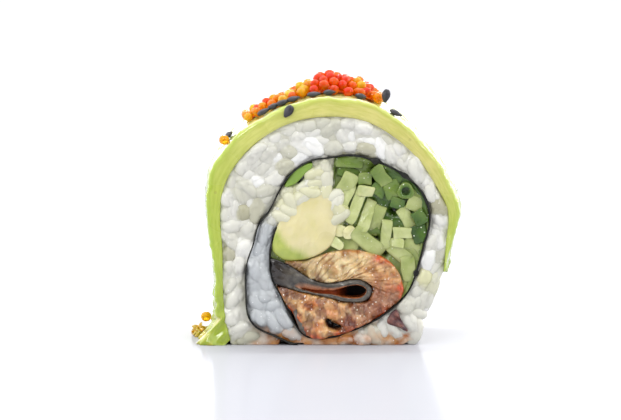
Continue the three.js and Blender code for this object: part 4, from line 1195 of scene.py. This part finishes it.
# %% Eel flesh
SKIN = [
    (-11.8, 13.6), (-11.6, 16.7), (-8.4, 15.8), (-6.1, 14.3), (-3.8, 12.8), (-1.5, 12.1), (1.1, 12.1),
    (3.4, 12.7), (5.7, 12.7), (7.4, 11.9), (8.1, 10.6), (7.5, 9.1), (5.9, 8.3), (3.2, 8.3), (0.6, 8.9),
    (-2.0, 9.6), (-5.0, 10.2), (-7.8, 10.9), (-10.6, 12.0),
]
EEL_OUTSIDE = [
    (-8.6, 16.3), (-4.8, 16.3), (-2.9, 17.0), (0.6, 18.1), (4.2, 18.4), (8.0, 17.7), (10.8, 16.6),
    (12.8, 14.6), (13.8, 12.2), (14.0, 10.1), (13.0, 8.4), (9.6, 5.5), (6.7, 3.7), (3.8, 2.4), (1.0, 1.8),
    (-1.9, 1.2), (-4.4, 1.6), (-5.8, 4.2), (-7.6, 6.8), (-9.4, 9.0), (-10.8, 11.4),
]
EEL_STEPS = 300
FLAKES = 29
PITS = [(-0.3, 4.6, 0.5), (0.2, 3.9, 0.7), (1.0, 3.6, 0.5), (1.8, 3.5, 0.35)]
FLAP_X, FLAP_Z, FLAP_RADIUS = 1.7, 15.2, 1.5
# Middle, reach and strength of the spots that the grill browned, that glaze filled and that stayed pale
BROWNED = [(-2.4, 5.0, 1.9, 1.2), (9.6, 16.8, 1.6, 0.9), (13.2, 12.6, 1.9, 1.0), (11.9, 6.8, 1.7, 0.8),
           (3.5, 4.4, 2.0, 0.4), (-3.4, 8.0, 1.5, 0.35), (FLAP_X, FLAP_Z, FLAP_RADIUS, -0.6)]
GLAZED = [(4.0, 3.6, 1.4, 0.5), (-2.0, 12.9, 1.2, 0.6)]
PALE = [(-0.5, 15.0, 3.6, 1.2), (5.0, 15.6, 3.0, 0.8), (-4.6, 6.5, 1.8, 0.8), (4.0, 6.6, 2.4, 0.6)]


def eel_flesh():
    """The cut's height is a dome across, a rounded ridge for each flake, threads across and two sizes of
    lumps."""
    inside = through(SKIN[2:-1], EEL_STEPS, False)
    outside = through(EEL_OUTSIDE, EEL_STEPS, False)
    rings, _, across = ruled(inside, outside, -FACE + 0.2, FACE - 0.2, rim=0.6, corner=4, along_depth=8,
                                along_across=30)
    share = np.linspace(0, 1, EEL_STEPS)[:, None]
    along = np.concatenate([[0], np.cumsum(np.linalg.norm(np.diff(outside, axis=0), axis=1))])[:, None]
    wander = 0.3 * (across - 0.5) + 0.42 * ripple(rings, 4.2, 60)
    beat = (share * FLAKES + wander) % 1
    ridge = 1 - np.abs(2 * beat - 1) ** 3
    threads = ripple(np.stack([along + 0 * across, across * 0.5, rings[..., 1] * 0.1], -1), 0.75, 65)
    upper = 1 - smoothstep(0.42, 0.6, share)
    height = 0.55 * (1 - (2 * across - 1) ** 6) + (0.12 + 0.2 * upper) * ridge
    height = (height + 0.34 * ripple(rings, 2.6, 61) + 0.26 * ripple(rings, 1.1, 62)
              + 0.1 * ripple(rings, 0.6, 67))
    height = height + 0.07 * threads
    pit = np.clip(sum(near(rings, *place) for place in PITS), 0, 1)
    flap = near(rings, FLAP_X, FLAP_Z, FLAP_RADIUS)
    cut = near_cuts(rings[..., 1], 2.0)
    height = height - 3.2 * pit * (rings[..., 1] < 0) + 0.35 * smoothstep(0.3, 0.6, flap)
    rings[..., 1] += np.sign(rings[..., 1]) * height * cut * 0.8
    rings[..., 1] = np.clip(rings[..., 1], -FACE - 0.75, FACE + 0.75)
    browned = smoothstep(0.8, 1.0, across) * (0.25 + 0.75 * smoothstep(0.25, 0.45, share))
    browned = browned + spots(rings, BROWNED)
    # Low places of the relief, between flakes, in the pit and away from the cuts take the dark glaze: partly
    # real glaze, partly painted shade.
    pooled_glaze_and_shade = smoothstep(0.15, -0.45, 0.6 * ripple(rings, 2.6, 61) + 0.5 * ripple(rings, 1.1, 62))
    between = smoothstep(0.72, 1.0, np.abs(2 * beat - 1)) * smoothstep(-0.6, 0.6, ripple(rings, 4.0, 68))
    low_places = 0.34 * between + pit + 0.3 * (1 - cut) + spots(rings, GLAZED) + pooled_glaze_and_shade * (0.6 - 0.35 * upper)
    values = {
        "around": share,
        "browned": np.clip(browned, 0, 1),
        "deep": np.clip(low_places, 0, 1),
        "cream": np.clip(spots(rings, PALE), 0, 1) * ridge,
        "along": along * 1.8,
        "spread": across * 1.1,
        "hole": smoothstep(0.35, 0.7, pit) * cut,
    }
    held = held_inside(rings, over=0.35)
    return skin(held, {k: np.broadcast_to(v, across.shape) for k, v in values.items()})


put("eel_flakes_of_flesh", eel_flesh(), EEL_FINISH, "eel", "eel_flesh")

# %% [markdown]
# The skin in the fold is a grey hairpin with a darker edge, and the slot inside it is stained by the glaze
# and hollow towards the bend. It is ruled between the slot and its own outline, and a lining closes the
# slot: rust brown with glaze at its left end and painted black as shade towards the bend.

# %% Eel skin and the slot inside it
SLOT = [
    (-5.4, 11.0), (-1.9, 10.6), (1.0, 10.7), (3.4, 11.4), (5.7, 11.5), (6.9, 10.6), (5.9, 9.4),
    (3.2, 9.3), (0.6, 9.9), (-2.2, 10.1),
]


def skin_colour(tree):
    """Grey in the middle of its thickness and nearly black at its edges, stained brown by the slot."""
    base = ramp(tree, value_of(tree, "across"), [
        (0.0, paint(190, 104, 50)), (0.14, paint(150, 104, 72)), (0.26, paint(70, 66, 58)),
        (0.55, paint(112, 106, 94)),
        (0.82, paint(84, 80, 74)), (1.0, paint(34, 30, 30)),
    ])
    cloud = placed(tree, mottle, Place=place_of(tree), Scale=900.0, Contrast=0.9, First=paint(255, 255, 255),
                   Second=paint(166, 160, 158))
    uneven = mixed(tree, 1.0, base, cloud["Colour"], "MULTIPLY")
    x = node(tree, "ShaderNodeSeparateXYZ", {"Vector": place_of(tree)}).outputs["X"]
    return mixed(tree, span(tree, x, -0.0065, -0.0095), uneven, mixed(tree, 1.0, uneven, paint(150, 138, 134),
                                                                      "MULTIPLY"))


SKIN_FINISH = finish("eel skin", skin_colour, 900.0, 0.36, 0.1, 0.0002, Coat_Weight=0.7, Coat_Roughness=0.05,
                     **soft_light(0.15, 0.8))


def slot_glaze_and_shade_colour(tree):
    """Rust brown glaze at the left end of the slot, and painted shade, nearly black, towards the bend and
    deeper in.
    """
    x = node(tree, "ShaderNodeSeparateXYZ", {"Vector": place_of(tree)}).outputs["X"]
    tone = placed(tree, mottle, Place=place_of(tree), Scale=600.0, Contrast=0.9, First=paint(150, 66, 26),
                  Second=paint(92, 34, 16))
    # Painted shade: black towards the bend.
    return mixed(tree, span(tree, x, 0.0012, 0.0034), tone["Colour"], paint(6, 4, 4))


SLOT_GLAZE_AND_SHADE_FINISH = finish("slot glaze and painted shade", slot_glaze_and_shade_colour, 900.0, 0.7, 0.4, 0.0001, Specular_IOR_Level=0.15)
steps = 150
rings, _, across = ruled(through(SLOT, steps), through(SKIN, steps), -FACE + 0.05, FACE - 0.05, rim=0.3,
                            along_depth=8, along_across=9)
puff = 0.25 * (1 - (2 * across - 1) ** 2) + 0.12 * ripple(rings, 1.6, 63) + 0.08 * ripple(rings, 0.8, 66)
rings[..., 1] += np.sign(rings[..., 1]) * puff * near_cuts(rings[..., 1])
put("eel_skin_fold", skin(held_inside(rings), {"across": across}, closed=True), SKIN_FINISH, "eel_skin",
    "eel_skin")
slot_line = through(SLOT, 48)
slot_middle = slot_line.mean(0)
lining_rings, _ = slug(slot_middle + (slot_line - slot_middle) * 1.03, -FACE + 0.7, FACE - 0.7, rim=0.2,
                       dome=0.0,
                           face_rings=8)
hollow = smoothstep(0.8, 3.4, lining_rings[..., 0]) * near_cuts(lining_rings[..., 1], 1.8) * 4.5
lining_rings[..., 1] -= np.sign(lining_rings[..., 1]) * hollow
put("eel_slot_glaze_and_painted_shade", skin(lining_rings), SLOT_GLAZE_AND_SHADE_FINISH, "eel_skin")

# %% The strip of skin at the side and the corner of skin in the rice
SIDE_SKIN = [
    (-7.5, 8.4), (-6.7, 8.2), (-6.0, 5.9), (-5.2, 4.0), (-4.5, 2.2), (-5.4, 2.0), (-6.1, 3.8),
    (-6.9, 6.0),
]
CORNER_FLAKE = [(11.2, 5.6), (12.7, 6.9), (13.6, 5.0), (14.9, 2.7), (12.9, 3.6), (11.0, 4.2)]


def flake_colour(tree):
    """Dark brown, mottled with plum."""
    tone = placed(tree, mottle, Place=place_of(tree), Scale=700.0, Contrast=1.0, First=paint(128, 78, 66),
                  Second=paint(66, 34, 44))
    return tone["Colour"]


FLAKE_FINISH = finish("dark flake", flake_colour, 1200.0, 0.4, 0.12, 0.0003, Coat_Weight=0.4)
rings, scale = slug(through(SIDE_SKIN, 40), -FACE - 0.05, FACE, rim=0.25, dome=0.1)
left = smoothstep(0.4, 1.0, scale) * (rings[..., 0] < -5.9 + 0.33 * (5.5 - rings[..., 2]))
side_skin = skin(held_inside(rings), {"across": 0.62 - 0.55 * left})
put("eel_skin_strip", side_skin, SKIN_FINISH, "eel_skin", "eel_skin_side")
rings, _ = slug(through(CORNER_FLAKE, 36), -FACE - 0.35, FACE - 0.1, rim=0.3, dome=0.2, face_rings=8)
rings[..., 1] += np.sign(rings[..., 1]) * 0.3 * ripple(rings, 1.1, 64) * near_cuts(rings[..., 1])
put("eel_skin_corner", skin(rings), FLAKE_FINISH, "eel_skin", "eel_flake")

# %% [markdown]
# Flying-fish roe is a heap of tiny firm beads, mostly orange-red with some yellow ones that rolled to the
# edges. Each bead is a cube whose faces are divided and pushed out to a ball, which spreads its few faces
# evenly. The heap has a core, so that no light comes through between the beads.

# %% The finish of the roe
def roe_colour(tree):
    """From deep red through orange to yellow by the bead's own tint, lighter and yellower on each bead's
    lower side as a painted glow of light.
    """
    body = ramp(tree, value_of(tree, "tint"), [
        (0.0, paint(246, 64, 0)), (0.35, paint(255, 108, 0)), (0.65, paint(255, 156, 0)),
        (0.85, paint(255, 196, 6)),
        (1.0, paint(252, 220, 40)),
    ])
    drift = placed(tree, mottle, Place=place_of(tree), Scale=900.0, Contrast=0.5, First=paint(255, 255, 255),
                   Second=paint(236, 190, 150))
    # Painted light: each bead is lighter and yellower on its lower side, as if light came through it.
    clear = mixed(tree, value_of(tree, "clear"), body, mixed(tree, 0.45, body, paint(255, 186, 30)))
    return mixed(tree, 1.0, clear, drift["Colour"], "MULTIPLY")


ROE_FINISH = finish("roe", roe_colour, 300.0, 0.06, 0.03, 0.00002, Coat_Weight=0.3, Coat_Roughness=0.02,
                    IOR=1.26, Transmission_Weight=0.45, **soft_light(0.3, 0.4, 1.0, 0.45, 0.1))
BEAD_RADIUS = 0.98
# Depth below the heap's top and spacing of each layer of beads
LAYERS = [(0.2, 1.72), (1.5, 1.7), (2.8, 1.8)]


# %% Beads, and how they are heaped
def bead_shape():
    """A cube's six sides, each 3 by 3, with every point moved to distance 1 from the middle; edges are
    merged."""
    side = np.tan(np.linspace(-1, 1, 4) * np.pi / 4)
    a, b = np.meshgrid(side, side, indexing="ij")
    one = np.ones_like(a)
    patches = [(one, a, b), (-one, b, a), (b, one, a), (a, -one, b), (a, b, one), (b, a, -one)]
    points = np.stack([np.stack(p, -1) for p in patches]).reshape(-1, 3)
    points /= np.linalg.norm(points, axis=1, keepdims=True)
    i, j = np.meshgrid(np.arange(3), np.arange(3), indexing="ij")
    one_side = np.stack([i * 4 + j, i * 4 + 4 + j, i * 4 + 5 + j, i * 4 + 1 + j], -1).reshape(-1, 4)
    quads = (one_side[None] + 16 * np.arange(6)[:, None, None]).reshape(-1, 4)
    merged, back = np.unique(points.round(6), axis=0, return_inverse=True)
    shape = {"points": merged, "quads": back.reshape(-1)[quads], "tris": np.zeros((0, 3), int), "values": {}}
    return outward(shape)


BEAD = bead_shape()


def beads(places, tint, rng):
    """Beads at places, each a little larger or smaller and slightly out of round."""
    n = len(places)
    sizes = BEAD_RADIUS * rng.uniform(0.88, 1.08, (n, 1)) * rng.uniform(0.95, 1.05, (n, 3))
    frames = np.eye(3)[None] * sizes[:, None, :]
    made = stamped(BEAD, frames, np.asarray(places, float), {"tint": np.clip(tint, 0, 1)})
    # Where the painted glow sits on each bead: its lower right front.
    lower = BEAD["points"] @ np.array([0.45, -0.3, -0.84])
    made["values"]["clear"] = np.tile(smoothstep(0.0, 0.9, lower), n)
    return made


def heap_top(u, v, profile):
    """The height of a heap: a line through its profile over the length u, and the root of 1 - v^2 over
    its depth."""
    along, heights = np.array(profile).T
    return np.interp(u, along, heights) * np.sqrt(np.clip(1 - v**2, 0, 1))


def heap(start, end, depth, profile, tints, seed):
    """Beads on the avocado up to the height of the heap, none nearer to another than about a bead's width."""
    rng = np.random.default_rng(seed)
    front, back = -FACE + depth[0], -FACE + depth[1]
    kept, tinted = np.zeros((0, 3)), []
    for drop, spacing in LAYERS:
        angle = rng.uniform(start, end, 5000)
        y = rng.uniform(front, back, 5000)
        u = 2 * (angle - start) / (end - start) - 1
        top = heap_top(u, 2 * (y - front) / (back - front) - 1, profile)
        lift = np.maximum(top - drop, BEAD_RADIUS * 0.95)
        places = clock(angle, blanket_top(angle, y) + lift + rng.normal(0, 0.12, 5000), y)
        for k in np.flatnonzero(top - drop > -0.5):
            if len(kept) == 0 or np.linalg.norm(kept - places[k], axis=1).min() > spacing:
                kept = np.concatenate([kept, places[k][None]])
                tinted.append(np.interp(u[k], *np.array(tints).T) + rng.normal(0, 0.19))
    return beads(kept, np.array(tinted), rng)


def heap_core(start, end, depth, profile):
    """The core under the beads: the same height less a bead, over the avocado."""
    angles = np.linspace(start + 1.5, end - 1.5, 24)
    front, back = -FACE + depth[0], -FACE + depth[1]
    rails = [clock(angles, r, 0)[:, [0, 2]] for r in (np.full(24, 1.0), np.full(24, 2.0))]
    rings, _, across = ruled(*rails, front + 1.2, back - 1.2, rim=0.3, along_depth=10, along_across=2)
    y = rings[..., 1]
    u = np.broadcast_to(np.linspace(-1, 1, 24)[:, None], y.shape)
    top = np.maximum(heap_top(u, 2 * (y - front) / (back - front) - 1, profile) - 1.4, 0.2)
    return skin(clock(angles[:, None], blanket_top(angles[:, None], y) + 0.25 + top * across, y),
                {"tint": 0.45})


MOUND = {"start": 345.5, "end": 379.5, "depth": (4.0, 17),
         "profile": [(-1, 1.0), (-0.8, 2.0), (-0.62, 2.0), (-0.45, 3.1), (-0.2, 3.4), (0.1, 3.1), (0.3, 2.5),
                     (0.5, 3.0), (0.7, 2.0), (0.9, 1.3), (1, 0.8)]}
MOUND_TINTS = [
    (-1, 0.95), (-0.62, 0.9), (-0.5, 0.25), (-0.2, 0.1), (0.2, 0.2), (0.45, 0.6), (0.7, 0.35), (1, 0.75),
]
PATCH = {"start": 326.0, "end": 344.5, "depth": (3.6, 10),
         "profile": [(-1, 0.9), (-0.5, 1.2), (0.3, 1.7), (0.8, 1.3), (1, 0.8)]}
PATCH_TINTS = [(-1, 0.85), (-0.5, 0.6), (0.0, 0.7), (0.5, 0.6), (1, 0.85)]
put("roe_heap", together([heap_core(**MOUND), heap(**MOUND, tints=MOUND_TINTS, seed=81)]), ROE_FINISH, "roe",
    "roe_mound")
put("roe_row", together([heap_core(**PATCH), heap(**PATCH, tints=PATCH_TINTS, seed=82)]), ROE_FINISH, "roe",
    "roe_patch")
CRUMB_X, CRUMB_Y, CRUMBS = -25.1, 1.0, 40


def crumb_heap(seed):
    """Torn bits of avocado and burst beads: bent spindles turned every way and roughened, low round a
    middle."""
    rng = np.random.default_rng(seed)
    turn, reach = rng.uniform(0, 2 * np.pi, CRUMBS), np.sqrt(rng.uniform(0, 1, CRUMBS))
    places = np.stack([CRUMB_X + 1.4 * reach * np.cos(turn), CRUMB_Y + 2.8 * reach * np.sin(turn),
                       0.5 + rng.uniform(0, 2.2, CRUMBS) * (1 - reach)], -1)
    ways = np.linalg.qr(rng.normal(size=(CRUMBS, 3, 3)))[0]
    sizes = np.stack([rng.uniform(1.3, 2.6, CRUMBS), rng.uniform(0.5, 1.1, CRUMBS),
                      rng.uniform(0.5, 0.9, CRUMBS)], -1)
    made = stamped(GRAIN, ways * sizes[:, None, :], places, {"tint": rng.uniform(0, 1, CRUMBS)})
    for axis in range(3):
        made["points"][:, axis] += 0.2 * ripple(made["points"], 0.9, 86 + axis)
    return made


def crumb_colour(tree):
    """From olive to amber by the bit's own tint, mottled."""
    body = ramp(tree, value_of(tree, "tint"), [(0.0, paint(196, 190, 70)), (0.5, paint(226, 184, 44)),
                                               (1.0, paint(236, 160, 30))])
    drift = placed(tree, mottle, Place=place_of(tree), Scale=900.0, Contrast=0.8, First=paint(255, 255, 255),
                   Second=paint(224, 206, 150))
    return mixed(tree, 1.0, body, drift["Colour"], "MULTIPLY")


CRUMB_FINISH = finish("crumbs", crumb_colour, 900.0, 0.3, 0.1, 0.0002, Coat_Weight=0.6, Coat_Roughness=0.05,
                      **soft_light(0.3, 0.8, 1.0, 0.8, 0.3))
crumbs = crumb_heap(83)
crumbs["points"][:, 0] = np.maximum(crumbs["points"][:, 0], -26.9)
crumbs["points"][:, 2] = np.maximum(crumbs["points"][:, 2], 0.02)
put("roe_and_avocado_crumbs", crumbs, CRUMB_FINISH, "roe", "roe_crumbs")

# %% [markdown]
# Black sesame is flat and pointed like a drop, so a seed is a drop of revolution that is pressed flat. The
# seeds lie along the front rim, one sticks to the cut face and one stands up, and two beads of roe rolled
# off to the left.

# %% Sesame and the stray beads
SEED_LONG, SEED_WIDE, SEED_THICK = 2.8, 1.7, 1.15
SEEDS = [
    (316.9, 4.6, 30), (333.4, 2.0, 84), (337.9, 2.6, 70), (341.6, 2.2, 84), (345.9, 2.4, 80),
    (353.9, 2.2, 88), (359.9, 3.2, 60), (371.9, 3.0, 50), (386.7, 2.0, 80),
]


def seed_colour(tree):
    """Black, mottled with slate."""
    tone = placed(tree, mottle, Place=place_of(tree), Scale=900.0, Contrast=1.0, First=paint(30, 29, 33),
                  Second=paint(62, 60, 68))
    return tone["Colour"]


SEED_FINISH = finish("black sesame", seed_colour, 2200.0, 0.5, 0.3, 0.00008, Coat_Weight=0.1)


def seed_shape():
    """A drop 1 long: its radius is the root of 1 - t^2, narrowed towards one end, and flat in its
    thickness."""
    t = np.sin(np.linspace(-np.pi / 2, np.pi / 2, 9))[1:-1]
    radius = 0.5 * np.sqrt(1 - t**2) * (1 - 0.42 * smoothstep(-0.2, 1.0, t))
    turn = np.arange(10) / 10 * 2 * np.pi
    x = np.broadcast_to(0.5 * t[:, None], (7, 10))
    return skin(np.stack([x, radius[:, None] * np.cos(turn), radius[:, None] * np.sin(turn)], -1))


seed_angle, seed_depth, seed_turn = np.array(SEEDS, float).T
outwards = clock(seed_angle, 1.0, 0.0) - [0, 0, CENTRE_Z]
along = np.stack([outwards[:, 2], np.zeros(len(SEEDS)), -outwards[:, 0]], -1)
lie = np.radians(90 - seed_turn)[:, None]
long_way = along * np.cos(lie) + np.array([0, 1.0, 0]) * np.sin(lie)
wide_way = np.cross(outwards, long_way)
frames = np.stack([long_way * SEED_LONG, wide_way * SEED_WIDE, outwards * SEED_THICK], -1)
seed_y = -FACE + seed_depth
places = clock(seed_angle, blanket_top(seed_angle, seed_y) + 0.6, seed_y)
lean = np.radians(57)
on_face = np.array([[SEED_LONG * np.cos(lean), 0, SEED_WIDE * 1.1 * np.sin(lean)], [0, SEED_THICK, 0],
                    [SEED_LONG * np.sin(lean), 0, -SEED_WIDE * 1.1 * np.cos(lean)]])
upright_out, upright_round = clock(372, 1.0, 0.0) - [0, 0, CENTRE_Z], clock(462, 1.0, 0.0) - [0, 0, CENTRE_Z]
upright = np.stack([-upright_out * SEED_LONG, upright_round * SEED_WIDE, [0, SEED_THICK, 0]], -1)
frames = np.concatenate([frames, on_face[None] * -1, upright[None]])
places = np.concatenate([places, clock(342.7, 26.6, -FACE - 0.25)[None],
                         clock(380.7, 30.1, -FACE + 2.6)[None]])
put("sesame_seeds", stamped(seed_shape(), frames, places), SEED_FINISH, "eel_skin")
stray = np.array([clock(314.5, blanket_top(314.5, -10.4) + 0.75, -FACE + 2.6), [-24.0, -0.6, 3.9]])
put("stray_beads", beads(stray, np.array([0.8, 0.9]), np.random.default_rng(84)), ROE_FINISH, "roe")

# %% [markdown]
# The roll stands on a plain white glossy surface in a bright white room. A soft light from the upper left
# and a weaker one from the right give the wet surfaces their highlights, and narrow ones behind the roll
# light its rims. The room is dim behind the camera, because wet black skin would mirror it and turn grey,
# and a bright card low down behind the roll is what the floor mirrors beside it. A long lens keeps the cut
# face undistorted.

# %% Floor
FLOOR_MIRROR = 0.09     # the share of light that the glossy surface mirrors
MIRROR_BLUR = 0.16      # rough enough that no lamp shows as a shape in it


def floor_finish():
    """White with a faint drift, mixed with a little of a blurred mirror."""
    material = bpy.data.materials.new("white surface")
    material.use_nodes = True
    tree = material.node_tree
    shader = tree.nodes["Principled BSDF"]
    tone = placed(tree, mottle, Place=place_of(tree), Scale=6.0, Contrast=1.0, First=paint(189, 189, 196),
                  Second=paint(186, 187, 194))
    tree.links.new(tone["Colour"], shader.inputs["Base Color"])
    shader.inputs["Roughness"].default_value = 0.6
    shader.inputs["Specular IOR Level"].default_value = 0.0
    mirror = node(tree, "ShaderNodeBsdfGlossy", {"Roughness": MIRROR_BLUR})
    both = node(tree, "ShaderNodeMixShader", {0: FLOOR_MIRROR, 1: shader.outputs[0], 2: mirror.outputs[0]})
    tree.links.new(both.outputs[0], tree.nodes["Material Output"].inputs["Surface"])
    return material


FLOOR_HALF = 3000.0
corners = np.array([[-1, -1, 0], [1, -1, 0], [1, 1, 0], [-1, 1, 0]], float) * FLOOR_HALF * MM
floor_mesh = bpy.data.meshes.new("surface")
floor_mesh.from_pydata(corners.tolist(), [], [[0, 1, 2, 3]])
floor_mesh.materials.append(floor_finish())
floor = bpy.data.objects.new("surface", floor_mesh)
bpy.context.scene.collection.objects.link(floor)
print("floor", 2 * FLOOR_HALF * MM, "m wide, mirrors", FLOOR_MIRROR)

# %% Room
CARD_BACK, CARD_LOW, CARD_LIGHT = (0.955, 0.975), (0.24, 0.17), 4.0
LIGHT_BELOW, LIGHT_ABOVE = 1.0, 1.72
CAMERA_SIDE, DIM = (-0.62, -0.9), 0.12
SEEN_WHITE = 1.05
world = bpy.data.worlds.new("white room")
bpy.context.scene.world = world
world.use_nodes = True
room = world.node_tree
background = room.nodes["Background"]
seen = node(room, "ShaderNodeLightPath").outputs["Is Camera Ray"]
direction = node(room, "ShaderNodeSeparateXYZ",
                 {"Vector": node(room, "ShaderNodeTexCoord").outputs["Generated"]})
behind = span(room, direction.outputs["Y"], *CARD_BACK)
low_down = span(room, direction.outputs["Z"], *CARD_LOW)
card = sum_of(room, "MULTIPLY", behind, low_down)
from_above = span(room, direction.outputs["Z"], -1.0, 1.0, LIGHT_BELOW, LIGHT_ABOVE)
past_camera = span(room, direction.outputs["Y"], *CAMERA_SIDE, 1.0, DIM)
walls = sum_of(room, "MULTIPLY", from_above, past_camera)
lit = sum_of(room, "ADD", walls, span(room, card, 0.0, 1.0, 0.0, CARD_LIGHT))
camera_strength = node(room, "ShaderNodeMix", {0: seen, 2: lit, 3: SEEN_WHITE}, data_type="FLOAT").outputs[0]
room.links.new(camera_strength, background.inputs["Strength"])
background.inputs["Color"].default_value = (1.0, 1.0, 1.0, 1.0)
print("room light from", LIGHT_BELOW, "below to", LIGHT_ABOVE, "above")

# %% Lamps
# Name, place, width and height in millimetres, and watts
LAMPS = [
    ("key", (-220, -440, 280), 110, 110, 0.5),
    ("fill", (300, -400, 250), 80, 80, 0.24),
    ("left strip", (-260, 40, 60), 6, 200, 0.17),
    ("right strip", (260, 60, 60), 6, 200, 0.17),
    ("top strip", (0, 50, 320), 200, 6, 0.22),
]
LIT_HEIGHT = 24.0


def soft_box(name, place, wide, tall, watts):
    """A rectangular area light that faces the middle of the roll."""
    light = bpy.data.lights.new(name, "AREA")
    light.shape = "RECTANGLE"
    light.size = wide * MM
    light.size_y = tall * MM
    light.energy = watts
    lamp = bpy.data.objects.new(name, light)
    bpy.context.scene.collection.objects.link(lamp)
    where = np.array(place, float)
    lamp.location = where * MM
    towards = np.array([0.0, 0.0, LIT_HEIGHT]) - where
    yaw = math.atan2(towards[1], towards[0]) - math.pi / 2
    pitch = math.atan2(towards[2], math.hypot(towards[0], towards[1]))
    lamp.rotation_euler = (math.pi / 2 + pitch, 0.0, yaw)
    lamp.visible_camera = False


for lamp_row in LAMPS:
    soft_box(*lamp_row)
print("lamps:", [row[0] for row in LAMPS])

# %% Camera
# Millimetres a pixel at the cut, the picture's size, and where in it the roll's middle and foot are
PIXEL = 0.19
FRAME_WIDE, FRAME_HIGH = 621, 420
ROLL_MIDDLE_X, ROLL_FOOT_Y = 330, 347
AWAY, ELEVATION = 600.0, 6.0
aim = np.array([(FRAME_WIDE / 2 - ROLL_MIDDLE_X) * PIXEL, -FACE, (ROLL_FOOT_Y - FRAME_HIGH / 2) * PIXEL])
tilt = math.radians(ELEVATION)
camera_data = bpy.data.cameras.new("camera")
camera_data.sensor_width = 36
camera_data.lens = 36 * AWAY / (FRAME_WIDE * PIXEL)
camera_data.clip_start, camera_data.clip_end = 0.01, 20
camera = bpy.data.objects.new("camera", camera_data)
bpy.context.scene.collection.objects.link(camera)
camera.location = (aim + AWAY * np.array([0, -math.cos(tilt), math.sin(tilt)])) * MM
camera.rotation_euler = (math.pi / 2 - tilt, 0, 0)
bpy.context.scene.camera = camera
bpy.context.scene.view_settings.view_transform = "Standard"
print("lens", round(camera_data.lens, 1), "mm at", AWAY, "mm")

# %% The end
print("the end")
